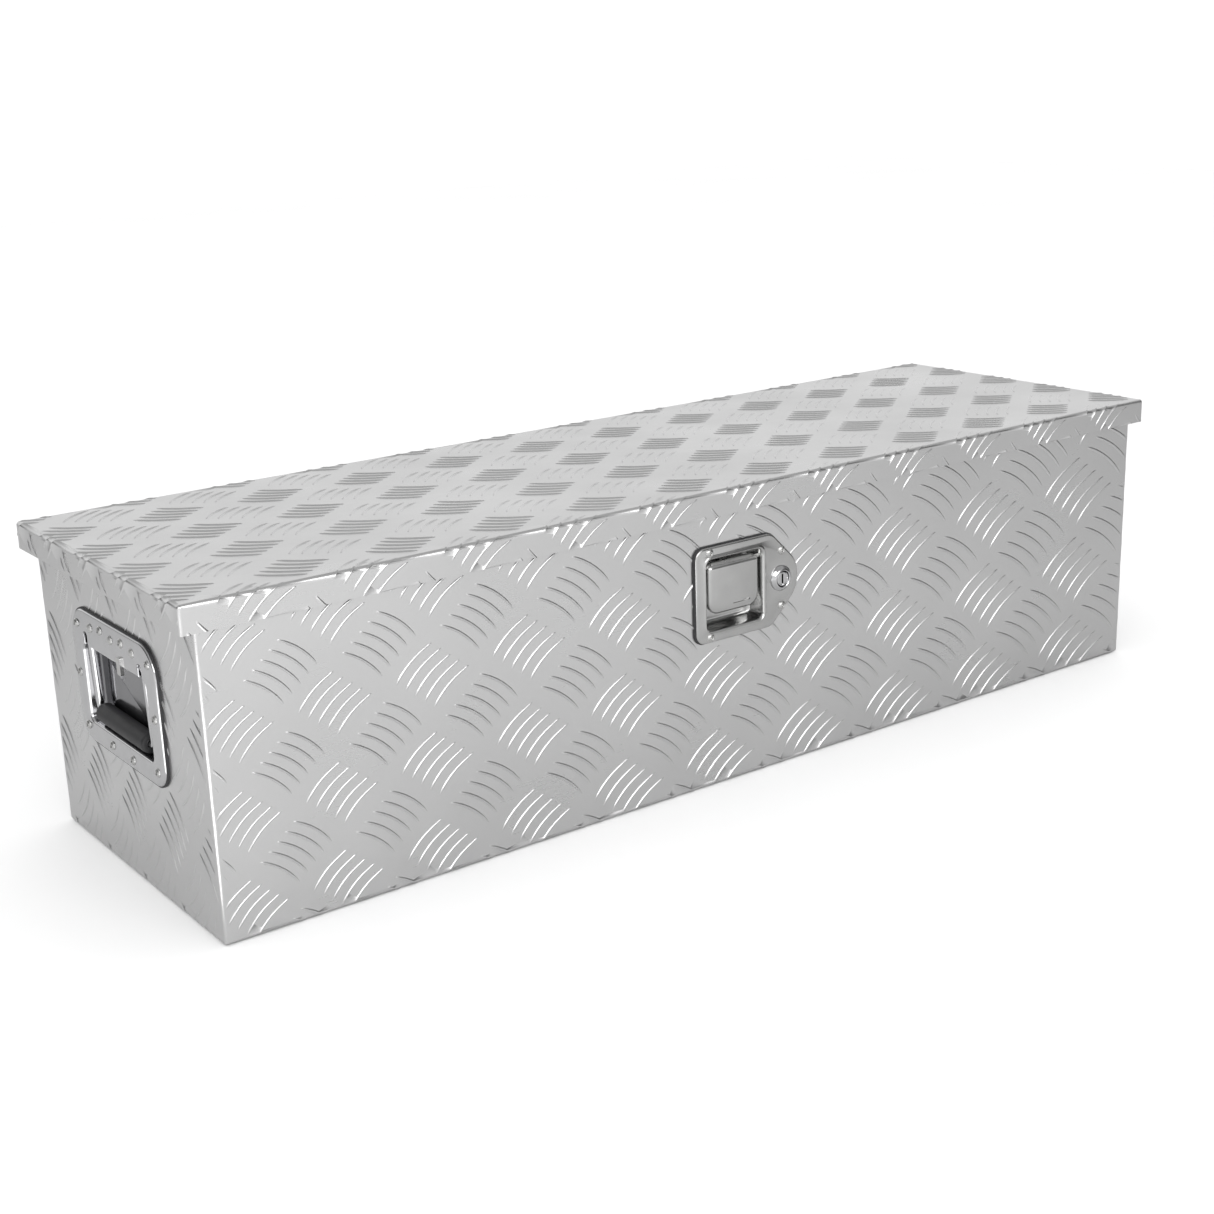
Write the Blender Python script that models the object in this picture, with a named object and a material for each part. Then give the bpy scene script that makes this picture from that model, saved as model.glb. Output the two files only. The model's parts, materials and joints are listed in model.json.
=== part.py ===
"""Aluminium tread-plate chest for a truck bed, with a hinged lid, paddle latch and two drop handles.

The box stands on Z = 0 with the middle of its base at the origin. Its length runs along X and its
front, with the latch, faces -Y. Folded sheets, sealing strips, hinge, gas struts, latch and handles
are separate solids, and each moving piece has its origin on its own joint axis.
"""
import math

import bmesh
import bpy
from mathutils import Vector
from mathutils.geometry import tessellate_polygon

# Shell, in metres
LID_LENGTH = 1.000
LID_DEPTH = 0.308
HEIGHT = 0.256
LIP_DEPTH = 0.022
END_OVERHANG = 0.012
FRONT_OVERHANG = 0.006
SHEET = 0.0015
BEND_RADIUS = 0.003
RIM_WIDTH = 0.020
SEAL_HEIGHT = 0.0055
SEAL_WIDTH = 0.011
SEAL_INSET = 0.004
GAP = 0.0003

BODY_HALF_X = LID_LENGTH / 2 - END_OVERHANG
BODY_HALF_Y = LID_DEPTH / 2 - FRONT_OVERHANG
LID_UNDERSIDE = HEIGHT - SHEET
RIM_TOP = LID_UNDERSIDE - SEAL_HEIGHT - 2 * GAP

# Lid stiffener
STIFFENER_LENGTH = 0.840
STIFFENER_HALF_WIDTH = 0.034
STIFFENER_CROWN = 0.018
STIFFENER_HEIGHT = 0.011

# Piano hinge along the back
HINGE_LENGTH = 0.940
KNUCKLE_RADIUS = 0.0028
KNUCKLE_BORE = 0.00135
KNUCKLE_COUNT = 10
KNUCKLE_PLAY = 0.0004
TAB_INSET = 0.00015
KNUCKLE_STEPS = 9
PIN_RADIUS = 0.0012
LEAF = 0.001
LEAF_WIDTH = 0.018
HINGE_Y = BODY_HALF_Y + GAP + KNUCKLE_RADIUS
LIP_CLEARANCE = 0.0005
HINGE_Z = HEIGHT - LIP_DEPTH - LIP_CLEARANCE - KNUCKLE_RADIUS

# Gas struts
STRUT_X = 0.456
STRUT_FOOT = (0.118, 0.183)
STRUT_HEAD = (-0.035, 0.2405)
STRUT_TUBE_RADIUS = 0.0075
STRUT_TUBE_START = 0.011
STRUT_TUBE_CHAMFER = 0.002
STRUT_TUBE_END = 0.128
STRUT_BORE_START = 0.050
STRUT_ROD_RADIUS = 0.003
STRUT_ROD_TAIL = 0.054
EYE_RADIUS = 0.0065
EYE_THICKNESS = 0.006
STUD_RADIUS = 0.003
STUD_SHOULDER_RADIUS = 0.006
STUD_BUTTON_RADIUS = 0.005
STRUT_PLATE = 0.002
FOOT_HALF_WIDTH = 0.016
FOOT_HALF_HEIGHT = 0.013
HEAD_HALF_LENGTH = 0.016
HEAD_FLANGE = 0.018
HEAD_WEB_HALF_WIDTH = 0.010
HEAD_WEB_DROP = 0.008
HEAD_WEB_CLEARANCE = 0.0095

# Paddle latch, measured from the front face of its plate
LATCH_X = -0.002
LATCH_Z = 0.168
LATCH_WIDTH = 0.1106
LATCH_HEIGHT = 0.0813
LATCH_RAISE = 0.0024
LATCH_SHEET = 0.001
LATCH_FACE_Y = -BODY_HALF_Y - LATCH_RAISE
SHOULDER = 0.0813
NOSE_RADIUS = 0.0271
DISH_CENTRE = (-0.0143, -0.00055)
DISH_WIDTH = 0.0616
DISH_HEIGHT = 0.062
DISH_DEPTH = 0.016
DISH_CORNER = 0.006
DISH_OPENING_PLAY = 0.0016
DISH_X = LATCH_X + DISH_CENTRE[0]
PADDLE_WIDTH = 0.055
PADDLE_TOP = 0.0245
PADDLE_BOTTOM = -0.0182
PADDLE_FACE = 0.0015
PADDLE_SHEET = 0.002
PADDLE_AXIS_DEPTH = 0.0065
PADDLE_AXIS_Z = LATCH_Z + 0.0224
PADDLE_BARREL_RADIUS = 0.0036
PADDLE_BARREL_LENGTH = 0.044
PADDLE_PIN_RADIUS = 0.002
PADDLE_ARM_REACH = 0.0155
PADDLE_ARM_HALF_HEIGHT = 0.002
PADDLE_ARM_HALF_WIDTH = 0.005
PADDLE_LIP_HALF_WIDTH = 0.016
PADDLE_LIP_DEPTH = 0.0065
ARM_SLOT_HALF_WIDTH = 0.0065
ARM_SLOT_LOW = 0.010
ARM_SLOT_HIGH = 0.0255
SPRING_TURNS = 3
SPRING_WIRE = 0.0004
SPRING_RADIUS = 0.0025
SPRING_PITCH = 0.0011
SPRING_STEPS = 12
BRACKET_HALF_WIDTH = 0.016
BRACKET_LOW = 0.001
BRACKET_HIGH = 0.030
CHEEK_OFFSET = 0.0075
CHEEK_LOW = 0.004
CHEEK_HIGH = 0.029
CHEEK_NOSE = 0.007
HOOK_AXIS = (-0.1054, 0.187)
HOOK_THICKNESS = 0.006
HOOK_PIN_RADIUS = 0.0025
STRIKER_Y = -0.094
STRIKER_Z = 0.2345
STRIKER_BAR_RADIUS = 0.0025
STRIKER_BASE_HALF_WIDTH = 0.020
STRIKER_BASE_FRONT = 0.007
STRIKER_BASE_BACK = 0.013
STRIKER_LEG_OFFSET = 0.0095
STRIKER_LEG_HALF_DEPTH = 0.0048
STRIKER_SHEET = 0.002
LOCK_X = LATCH_X + 0.0357
LOCK_FLANGE_RADIUS = 0.010
LOCK_BODY_RADIUS = 0.0087
LOCK_BORE_RADIUS = 0.0068
LOCK_PLUG_RADIUS = 0.0065
LOCK_PROUD = 0.0035
LOCK_LENGTH = 0.022
LOCK_EDGE = 0.001
LOCK_TAIL = 0.002
LOCK_STEPS = 24
NUT_RADIUS = 0.0135
NUT_HEIGHT = 0.004
KEYWAY_HALF_WIDTH = 0.0009
KEYWAY_HALF_HEIGHT = 0.0042
KEYWAY_DEPTH = 0.006
CAM_HALF_WIDTH = 0.006
CAM_REACH = 0.024
CAM_TOP = 0.007
CAM_THICKNESS = 0.002

# End handles, measured from the front face of their plates
HANDLE_Z = 0.150
HANDLE_WIDTH = 0.157
HANDLE_HEIGHT = 0.108
HANDLE_RAISE = 0.003
HANDLE_SHEET = 0.0012
HANDLE_RADII = (0.018, 0.018, 0.025, 0.025)
WELL_HALF_WIDTH = 0.060
WELL_LOW = -0.037
WELL_HIGH = 0.026
WELL_DEPTH = 0.013
WELL_CORNER = 0.005
WELL_OPENING_PLAY = 0.0025
GASKET_SHOW = 0.0006
BAIL_RADIUS = 0.003
BAIL_HALF_WIDTH = 0.051
BAIL_STUB_END = 0.041
BAIL_BEND = 0.006
STUB_BEND = 0.004
BAIL_DEPTH = 0.0045
BAIL_AXIS = 0.033
BAIL_REACH = 0.0604
GRIP_SETBACK = 0.0015
BAIL_TILT = math.atan2(GRIP_SETBACK, BAIL_REACH)
GRIP_RADIUS = 0.0078
GRIP_HALF_LENGTH = 0.0445
GRIP_EDGE = 0.0015
NOTCH_HALF_WIDTH = 0.0037
NOTCH_TOP = 0.037
NOTCH_OVERLAP = 0.006
NOTCH_DEPTH = 0.0092
STRAP_HALF_LENGTH = 0.0435
STRAP_LOW = 0.0385
STRAP_HIGH = 0.0485
EAR_LOW = 0.0275
EAR_SHELF = 0.0372
EAR_BACK = 0.004
SADDLE_STEPS = 10

# Rivets
RIVET_HEAD_RADIUS = 0.0036
RIVET_HEAD_HEIGHT = 0.0014
RIVET_RADIUS = 0.0016
RIVET_TAIL_RADIUS = 0.0027
RIVET_TAIL_HEIGHT = 0.001
RIVET_HOLE_RADIUS = 0.0021
RIVET_HOLE_STEPS = 6
FIRST_HOLE_TURN = 0.17
NEXT_HOLE_TURN = 0.11
RIVET_STEPS = 8
HANDLE_RIVETS = [
    (-0.067, 0.0405), (0.067, 0.0405),
    (-0.0705, 0.0), (0.0705, 0.0),
    (-0.0658, -0.042), (0.0658, -0.042),
    (-0.0197, -0.0463), (0.0197, -0.0463),
]
HANDLE_STUDS = [(-0.0398, 0.0425), (0.0, 0.0425), (0.0398, 0.0425)]
LATCH_RIVETS = [(-0.0408, 0.0358), (-0.0408, -0.036), (0.0369, 0.0241), (0.0369, -0.0241)]

# Finishes: base colour, roughness, metallic
FINISHES = {
    "tread_aluminium": ((0.80, 0.80, 0.79), 0.32, 1.0),
    "plain_aluminium": ((0.74, 0.74, 0.74), 0.40, 1.0),
    "stainless": ((0.70, 0.70, 0.69), 0.28, 1.0),
    "chrome": ((0.86, 0.86, 0.87), 0.10, 1.0),
    "zinc": ((0.62, 0.62, 0.60), 0.35, 1.0),
    "black_rubber": ((0.015, 0.015, 0.016), 0.75, 0.0),
    "black_paint": ((0.02, 0.02, 0.022), 0.35, 0.0),
}

PLACE = {
    "X": lambda a, b, along: (along, a, b),
    "Y": lambda a, b, along: (a, along, b),
    "Z": lambda a, b, along: (a, b, along),
}


# ---------------------------------------------------------------- outlines

def circle(radius, centre=(0.0, 0.0), steps=16, turn=0.0):
    """Points round a circle, anticlockwise."""
    angles = [turn + math.tau * step / steps for step in range(steps)]
    return [(centre[0] + radius * math.cos(a), centre[1] + radius * math.sin(a)) for a in angles]


def rivet_holes(spots, centre=(0.0, 0.0)):
    """Outlines of rivet holes, each turned a little further so that no two have corners in line."""
    holes = []
    for number, (u, v) in enumerate(spots):
        spot = (centre[0] + u, centre[1] + v)
        turn = FIRST_HOLE_TURN + NEXT_HOLE_TURN * number
        holes.append(circle(RIVET_HOLE_RADIUS, spot, RIVET_HOLE_STEPS, turn))
    return holes


def fillet(before, corner, after, radius, steps):
    """Arc of the given radius that rounds one corner of a path."""
    corner = Vector(corner)
    towards_before = (Vector(before) - corner).normalized()
    towards_after = (Vector(after) - corner).normalized()
    half_angle = towards_before.angle(towards_after) / 2
    bisector = (towards_before + towards_after).normalized()
    centre = corner + bisector * (radius / math.sin(half_angle))
    start = corner + towards_before * (radius / math.tan(half_angle)) - centre
    end = corner + towards_after * (radius / math.tan(half_angle)) - centre
    sweep = start.angle(end)
    points = []
    for step in range(steps + 1):
        share = step / steps
        blend = (start * math.sin((1 - share) * sweep) + end * math.sin(share * sweep)) / math.sin(sweep)
        points.append(tuple(centre + blend))
    return points


def rounded_polygon(corners, radii, steps=4):
    """Closed outline with each corner rounded by its own radius."""
    points = []
    for index, corner in enumerate(corners):
        following = corners[(index + 1) % len(corners)]
        points += fillet(corners[index - 1], corner, following, radii[index], steps)
    return points


def rounded_rectangle(x_low, x_high, y_low, y_high, radius, steps=4):
    """Rounded rectangle, anticlockwise from its lower left corner; radius may be one per corner."""
    corners = [(x_low, y_low), (x_high, y_low), (x_high, y_high), (x_low, y_high)]
    radii = radius if isinstance(radius, tuple) else (radius,) * len(corners)
    return rounded_polygon(corners, radii, steps)


def folded_outline(path, thickness, radius, steps=3):
    """Section of a sheet folded along a path whose bends all turn the same way, sheet on the inside."""
    outer = [path[0]]
    inner = []
    for before, corner, after in zip(path, path[1:], path[2:]):
        outer += fillet(before, corner, after, radius, steps)
        inside = Vector(corner) + thickness * ((Vector(before) - Vector(corner)).normalized()
                                               + (Vector(after) - Vector(corner)).normalized())
        inner += fillet(inside + Vector(before) - Vector(corner), inside,
                        inside + Vector(after) - Vector(corner), radius - thickness, steps)
    outer.append(path[-1])
    first_side = thickness * (Vector(path[2]) - Vector(path[1])).normalized()
    last_side = thickness * (Vector(path[-3]) - Vector(path[-2])).normalized()
    inner.insert(0, tuple(Vector(path[0]) + first_side))
    inner.append(tuple(Vector(path[-1]) + last_side))
    return outer + inner[::-1]


# ---------------------------------------------------------------- solids

def finish(name):
    """Material of its own for one object, in a named finish."""
    colour, roughness, metallic = FINISHES[name]
    material = bpy.data.materials.new(name)
    material.use_nodes = True
    shader = material.node_tree.nodes["Principled BSDF"]
    shader.inputs["Base Color"].default_value = (*colour, 1.0)
    shader.inputs["Roughness"].default_value = roughness
    shader.inputs["Metallic"].default_value = metallic
    return material


def add_object(name, shape, finish_name, smooth=False):
    """Turn a bmesh into a named object with outward faces."""
    bmesh.ops.recalc_face_normals(shape, faces=shape.faces)
    mesh = bpy.data.meshes.new(name)
    shape.to_mesh(mesh)
    shape.free()
    thing = bpy.data.objects.new(name, mesh)
    bpy.context.scene.collection.objects.link(thing)
    mesh.materials.append(finish(finish_name))
    if smooth:
        shade_round(thing)
    return thing


def shade_round(thing):
    """Smooth shading that keeps real edges sharp."""
    thing.data.shade_smooth()
    thing.data.set_sharp_from_angle(angle=math.radians(35))


def flat_face(shape, loops, place, along):
    """Flat face with holes; returns the vertices of its outline and of each hole."""
    rings = [[shape.verts.new(place(a, b, along)) for a, b in loop] for loop in loops]
    corners = [vertex for ring in rings for vertex in ring]
    for triangle in tessellate_polygon([[Vector((a, b, 0)) for a, b in loop] for loop in loops]):
        shape.faces.new([corners[index] for index in triangle])
    return rings


def bridge(shape, ring, other):
    """Band of faces between two rings with the same number of vertices."""
    for index in range(len(ring)):
        following = (index + 1) % len(ring)
        shape.faces.new((ring[index], ring[following], other[following], other[index]))


def add_ring(shape, points):
    """Vertices for one ring of 3-D points."""
    return [shape.verts.new(point) for point in points]


def add_prism(shape, outline, low, high, axis, holes=()):
    """Outline with holes, drawn out along an axis."""
    loops = [outline, *holes]
    bottom = flat_face(shape, loops, PLACE[axis], low)
    top = flat_face(shape, loops, PLACE[axis], high)
    for ring, other in zip(bottom, top):
        bridge(shape, ring, other)


def add_box(shape, low, high):
    """Box between two opposite corners."""
    outline = [(low[0], low[1]), (high[0], low[1]), (high[0], high[1]), (low[0], high[1])]
    add_prism(shape, outline, low[2], high[2], "Z")


def add_turned(shape, profile, axis, centre=(0.0, 0.0), steps=16):
    """Turned solid from (radius, position) pairs, listed from one end of the axis to the other."""
    rings = [add_ring(shape, [PLACE[axis](a, b, along) for a, b in circle(radius, centre, steps)])
             for radius, along in profile]
    for ring, other in zip(rings, rings[1:]):
        bridge(shape, ring, other)
    shape.faces.new(rings[0])
    shape.faces.new(rings[-1])


def add_turned_ring(shape, section, axis, centre=(0.0, 0.0), steps=16):
    """Turned ring: a closed section of (radius, position) pairs."""
    rings = [add_ring(shape, [PLACE[axis](a, b, along) for a, b in circle(radius, centre, steps)])
             for radius, along in section]
    for index, ring in enumerate(rings):
        bridge(shape, ring, rings[(index + 1) % len(rings)])


def add_swept_rod(shape, path, radius, normal, steps=8):
    """Round rod along a flat path; the normal is square to the plane of the path."""
    rings = []
    for index, point in enumerate(path):
        before = Vector(path[max(index - 1, 0)])
        after = Vector(path[min(index + 1, len(path) - 1)])
        sideways = normal.cross((after - before).normalized())
        rings.append(add_ring(shape, [Vector(point) + a * normal + b * sideways
                                      for a, b in circle(radius, steps=steps)]))
    for ring, other in zip(rings, rings[1:]):
        bridge(shape, ring, other)
    shape.faces.new(rings[0])
    shape.faces.new(rings[-1])


def add_dished_plate(shape, loops, place, thickness, front_rings, back_rings):
    """Flat plate whose second loop opens into a dish; the rings lead from that loop to the floor."""
    front = flat_face(shape, loops, place, 0.0)
    wider = [loops[0], back_rings[0][0], *loops[2:]]
    back = flat_face(shape, wider, place, thickness)
    for index in range(len(loops)):
        if index != 1:
            bridge(shape, front[index], back[index])
    for ring, steps in ((front[1], front_rings), (back[1], back_rings[1:])):
        for outline, depth in steps:
            deeper = add_ring(shape, [place(a, b, depth) for a, b in outline])
            bridge(shape, ring, deeper)
            ring = deeper
        shape.faces.new(ring)


def combine(thing, tool, operation):
    """Join or cut with another object, keep the resulting mesh and drop the tool."""
    modifier = thing.modifiers.new("combine", "BOOLEAN")
    modifier.solver = "EXACT"
    modifier.operation = operation
    modifier.object = tool
    graph = bpy.context.evaluated_depsgraph_get()
    result = bpy.data.meshes.new_from_object(thing.evaluated_get(graph))
    thing.modifiers.remove(modifier)
    thing.data = result
    bpy.data.objects.remove(tool)


def tool(*adders):
    """Throwaway solid for a join or a cut, built by the given functions."""
    shape = bmesh.new()
    for adder in adders:
        adder(shape)
    return add_object("tool", shape, "zinc")


def cut(thing, *adders):
    """Cut the solids that the given functions build, one after another."""
    for adder in adders:
        combine(thing, tool(adder), "DIFFERENCE")


def join(thing, *adders):
    """Join the solids that the given functions build, one after another."""
    for adder in adders:
        combine(thing, tool(adder), "UNION")


def copy_of(thing, name):
    """Second object with the same mesh."""
    other = bpy.data.objects.new(name, thing.data)
    bpy.context.scene.collection.objects.link(other)
    return other


def put_origin(thing, point):
    """Move an object's origin to a point without moving its shape."""
    for vertex in thing.data.vertices:
        vertex.co -= Vector(point)
    thing.location = point


def stand(name, location, turn=0.0):
    """Empty that carries the pieces of one sub-assembly."""
    empty = bpy.data.objects.new(name, None)
    empty.location = location
    empty.rotation_euler.z = turn
    bpy.context.scene.collection.objects.link(empty)
    return empty


# ---------------------------------------------------------------- shell

def latch_openings():
    """Outlines that the latch needs through the front wall and the gasket."""
    half_width = DISH_WIDTH / 2 + DISH_OPENING_PLAY
    half_height = DISH_HEIGHT / 2 + DISH_OPENING_PLAY
    middle = LATCH_Z + DISH_CENTRE[1]
    dish = rounded_rectangle(DISH_X - half_width, DISH_X + half_width, middle - half_height,
                             middle + half_height, DISH_CORNER)
    lock = circle(LOCK_BODY_RADIUS + 2 * GAP, (LOCK_X, LATCH_Z), LOCK_STEPS)
    return [dish, lock, *rivet_holes(LATCH_RIVETS, (LATCH_X, LATCH_Z))]


def make_body_shell():
    """Front wall, floor and back wall folded from one sheet, with a flange along the top edges."""
    y, inner = BODY_HALF_Y, BODY_HALF_Y - RIM_WIDTH
    path = [(-inner, RIM_TOP), (-y, RIM_TOP), (-y, 0.0), (y, 0.0), (y, RIM_TOP), (inner, RIM_TOP)]
    reach = BODY_HALF_X - SHEET - GAP
    shape = bmesh.new()
    add_prism(shape, folded_outline(path, SHEET, BEND_RADIUS), -reach, reach, "X")
    shell = add_object("body_shell", shape, "tread_aluminium")
    front, back = -y - SHEET, -y + 2 * SHEET
    cut(shell, *[lambda s, o=outline: add_prism(s, o, front, back, "Y") for outline in latch_openings()])


def handle_openings():
    """Outlines that a handle needs through the end panel and its gasket, round the handle's centre."""
    half = WELL_HALF_WIDTH + WELL_OPENING_PLAY
    well = rounded_rectangle(-half, half, WELL_LOW - WELL_OPENING_PLAY, NOTCH_TOP + 2 * GAP, WELL_CORNER)
    return [well, *rivet_holes(HANDLE_RIVETS + HANDLE_STUDS)]


def make_end_panel():
    """Flat end panel with a flange along its top edge, for the +X end."""
    outline = rounded_rectangle(-BODY_HALF_Y, BODY_HALF_Y, 0.0, RIM_TOP,
                                (BEND_RADIUS, BEND_RADIUS, SHEET / 2, SHEET / 2), 3)
    openings = [[(a, b + HANDLE_Z) for a, b in loop] for loop in handle_openings()]
    shape = bmesh.new()
    add_prism(shape, outline, BODY_HALF_X - SHEET, BODY_HALF_X, "X", openings)
    panel = add_object("end_panel_right", shape, "tread_aluminium")
    reach = BODY_HALF_Y - RIM_WIDTH - GAP
    join(panel, lambda s: add_box(s, (BODY_HALF_X - RIM_WIDTH, -reach, RIM_TOP - SHEET),
                                  (BODY_HALF_X - SHEET / 2, reach, RIM_TOP - SHEET / 4)))
    other = copy_of(panel, "end_panel_left")
    other.rotation_euler.z = math.pi


def make_weather_seal():
    """Rubber strip all round the rim, crowned on top."""
    section = [(0.0, 0.0), (0.0, 0.6), (0.2, 1.0), (0.8, 1.0), (1.0, 0.6), (1.0, 0.0)]
    shape = bmesh.new()
    rings = []
    for across, up in section:
        x = BODY_HALF_X - SEAL_INSET - across * SEAL_WIDTH
        y = BODY_HALF_Y - SEAL_INSET - across * SEAL_WIDTH
        z = RIM_TOP + GAP + up * SEAL_HEIGHT
        outline = rounded_rectangle(-x, x, -y, y, 0.018 - across * SEAL_WIDTH)
        rings.append(add_ring(shape, [(a, b, z) for a, b in outline]))
    for index, ring in enumerate(rings):
        bridge(shape, ring, rings[(index + 1) % len(rings)])
    add_object("weather_seal", shape, "black_rubber", smooth=True)


def lid_rings(inset, top, radius):
    """Rings of one skin of the lid, from its open lower edge over the bend to the top."""
    half_x, half_y = LID_LENGTH / 2 - inset, LID_DEPTH / 2 - inset
    levels = [(0.0, HEIGHT - LIP_DEPTH)]
    levels += [(radius * (1 - math.cos(angle)), top - radius * (1 - math.sin(angle)))
               for angle in (0.0, math.pi / 6, math.pi / 3, math.pi / 2)]
    rings = []
    for pull, z in levels:
        corner = BEND_RADIUS + radius - inset - pull / 2
        outline = rounded_rectangle(-half_x + pull, half_x - pull, -half_y + pull, half_y - pull, corner)
        rings.append([(a, b, z) for a, b in outline])
    return rings


def make_lid():
    """Tread-plate lid: a flat top with a folded lip all round, and a hat channel under it."""
    shape = bmesh.new()
    edges = []
    for inset, top, radius in ((0.0, HEIGHT, BEND_RADIUS), (SHEET, LID_UNDERSIDE, BEND_RADIUS - SHEET)):
        rings = [add_ring(shape, points) for points in lid_rings(inset, top, radius)]
        for ring, other in zip(rings, rings[1:]):
            bridge(shape, ring, other)
        shape.faces.new(rings[-1])
        edges.append(rings[0])
    bridge(shape, *edges)
    put_origin(add_object("lid_pan", shape, "tread_aluminium"), (0.0, HINGE_Y, HINGE_Z))

    top = LID_UNDERSIDE - GAP
    low = top - STIFFENER_HEIGHT
    half, crown = STIFFENER_HALF_WIDTH, STIFFENER_CROWN
    outline = [(-half, top), (-half, top - SHEET), (-crown - SHEET, top - SHEET), (-crown, low),
               (crown, low), (crown + SHEET, top - SHEET), (half, top - SHEET), (half, top),
               (crown, top), (crown - SHEET, low + SHEET), (SHEET - crown, low + SHEET), (-crown, top)]
    shape = bmesh.new()
    add_prism(shape, outline, -STIFFENER_LENGTH / 2, STIFFENER_LENGTH / 2, "X")
    put_origin(add_object("lid_stiffener", shape, "plain_aluminium"), (0.0, HINGE_Y, HINGE_Z))


# ---------------------------------------------------------------- hinge

def add_knuckle(shape, span, rims, offset, up):
    """Knuckle between two places along the hinge, rolled from the plate's edge at the given vertices."""
    start = math.acos(offset / KNUCKLE_RADIUS)
    end = math.acos((offset + LEAF) / KNUCKLE_RADIUS) + math.tau
    angles = [start + (end - start) * step / KNUCKLE_STEPS for step in range(KNUCKLE_STEPS + 1)]
    roll = [(HINGE_Y + KNUCKLE_RADIUS * math.cos(angle), HINGE_Z + up * KNUCKLE_RADIUS * math.sin(angle))
            for angle in angles]
    bore = circle(KNUCKLE_BORE, (HINGE_Y, HINGE_Z), 8, math.pi / 8)
    sections = []
    for x, (near, far) in zip(span, rims):
        outer = [far, *add_ring(shape, [(x, y, z) for y, z in roll]), near]
        inner = add_ring(shape, [(x, y, z) for y, z in bore])
        corners = outer + inner
        loops = [[vertex.co.yz.to_3d() for vertex in ring] for ring in (outer, inner)]
        for triangle in tessellate_polygon(loops):
            shape.faces.new([corners[index] for index in triangle])
        sections.append((outer, inner))
    (outer, inner), (other_outer, other_inner) = sections
    for index in range(len(outer) - 1):
        shape.faces.new((outer[index], outer[index + 1], other_outer[index + 1], other_outer[index]))
    bridge(shape, inner, other_inner)


def make_hinge_leaf(name, offset, up, first):
    """One leaf: a plate with every second knuckle along its edge."""
    pitch = HINGE_LENGTH / KNUCKLE_COUNT
    joints = [index * pitch - HINGE_LENGTH / 2 for index in range(KNUCKLE_COUNT + 1)]
    spans = [(joints[index] + KNUCKLE_PLAY, joints[index + 1] - KNUCKLE_PLAY)
             for index in range(first, KNUCKLE_COUNT, 2)]
    stations = [place for span in spans for place in span]
    if first:
        stations.insert(0, joints[0] + KNUCKLE_PLAY)
    else:
        stations.append(joints[-1] - KNUCKLE_PLAY)
    edge = HINGE_Z + up * (KNUCKLE_RADIUS + 2 * GAP)
    tip = edge + up * LEAF_WIDTH
    near, far = HINGE_Y + offset + LEAF, HINGE_Y + offset
    shape = bmesh.new()
    sections = [add_ring(shape, [(x, near, edge), (x, far, edge), (x, far, tip), (x, near, tip)])
                for x in stations]
    for index, (ring, other) in enumerate(zip(sections, sections[1:])):
        for side in (1, 2, 3):
            following = (side + 1) % 4
            shape.faces.new((ring[side], ring[following], other[following], other[side]))
        if (index + first) % 2 == 0:
            add_knuckle(shape, stations[index:index + 2], (ring[:2], other[:2]), offset, up)
        else:
            shape.faces.new((ring[0], ring[1], other[1], other[0]))
    shape.faces.new(sections[0])
    shape.faces.new(sections[-1])
    put_origin(add_object(name, shape, "stainless"), (0.0, HINGE_Y, HINGE_Z))


def make_hinge():
    """Piano hinge: a leaf on the back wall, a leaf inside the lip and a pin through both."""
    wall_side = -KNUCKLE_RADIUS
    make_hinge_leaf("hinge_leaf_body", wall_side, -1, 0)
    lip_side = LID_DEPTH / 2 - SHEET - GAP - LEAF - HINGE_Y
    make_hinge_leaf("hinge_leaf_lid", lip_side, 1, 1)
    shape = bmesh.new()
    half = HINGE_LENGTH / 2
    add_turned(shape, [(PIN_RADIUS, -half), (PIN_RADIUS, half)], "X", (0.0, 0.0), 10)
    pin = add_object("hinge_pin", shape, "stainless", smooth=True)
    pin.location = (0.0, HINGE_Y, HINGE_Z)


# ---------------------------------------------------------------- gas struts

def strut_angle_and_length():
    """Direction from the foot to the head of a strut with the lid shut, and its length."""
    along_y, along_z = STRUT_HEAD[0] - STRUT_FOOT[0], STRUT_HEAD[1] - STRUT_FOOT[1]
    return math.atan2(along_z, along_y), math.hypot(along_y, along_z)


def add_eye(shape, neck):
    """Flat eye round the origin with a neck towards the tube or the rod."""
    side = math.copysign(1.0, neck)
    arc = [math.radians(60 + 20 * step) for step in range(13)]
    outline = [(side * EYE_RADIUS * math.cos(angle), EYE_RADIUS * math.sin(angle)) for angle in arc]
    outline += [(neck, -EYE_RADIUS * 0.75), (neck, EYE_RADIUS * 0.75)]
    bore = circle(STUD_RADIUS + GAP, steps=12)
    add_prism(shape, outline, -EYE_THICKNESS / 2, EYE_THICKNESS / 2, "X", [bore])


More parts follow.
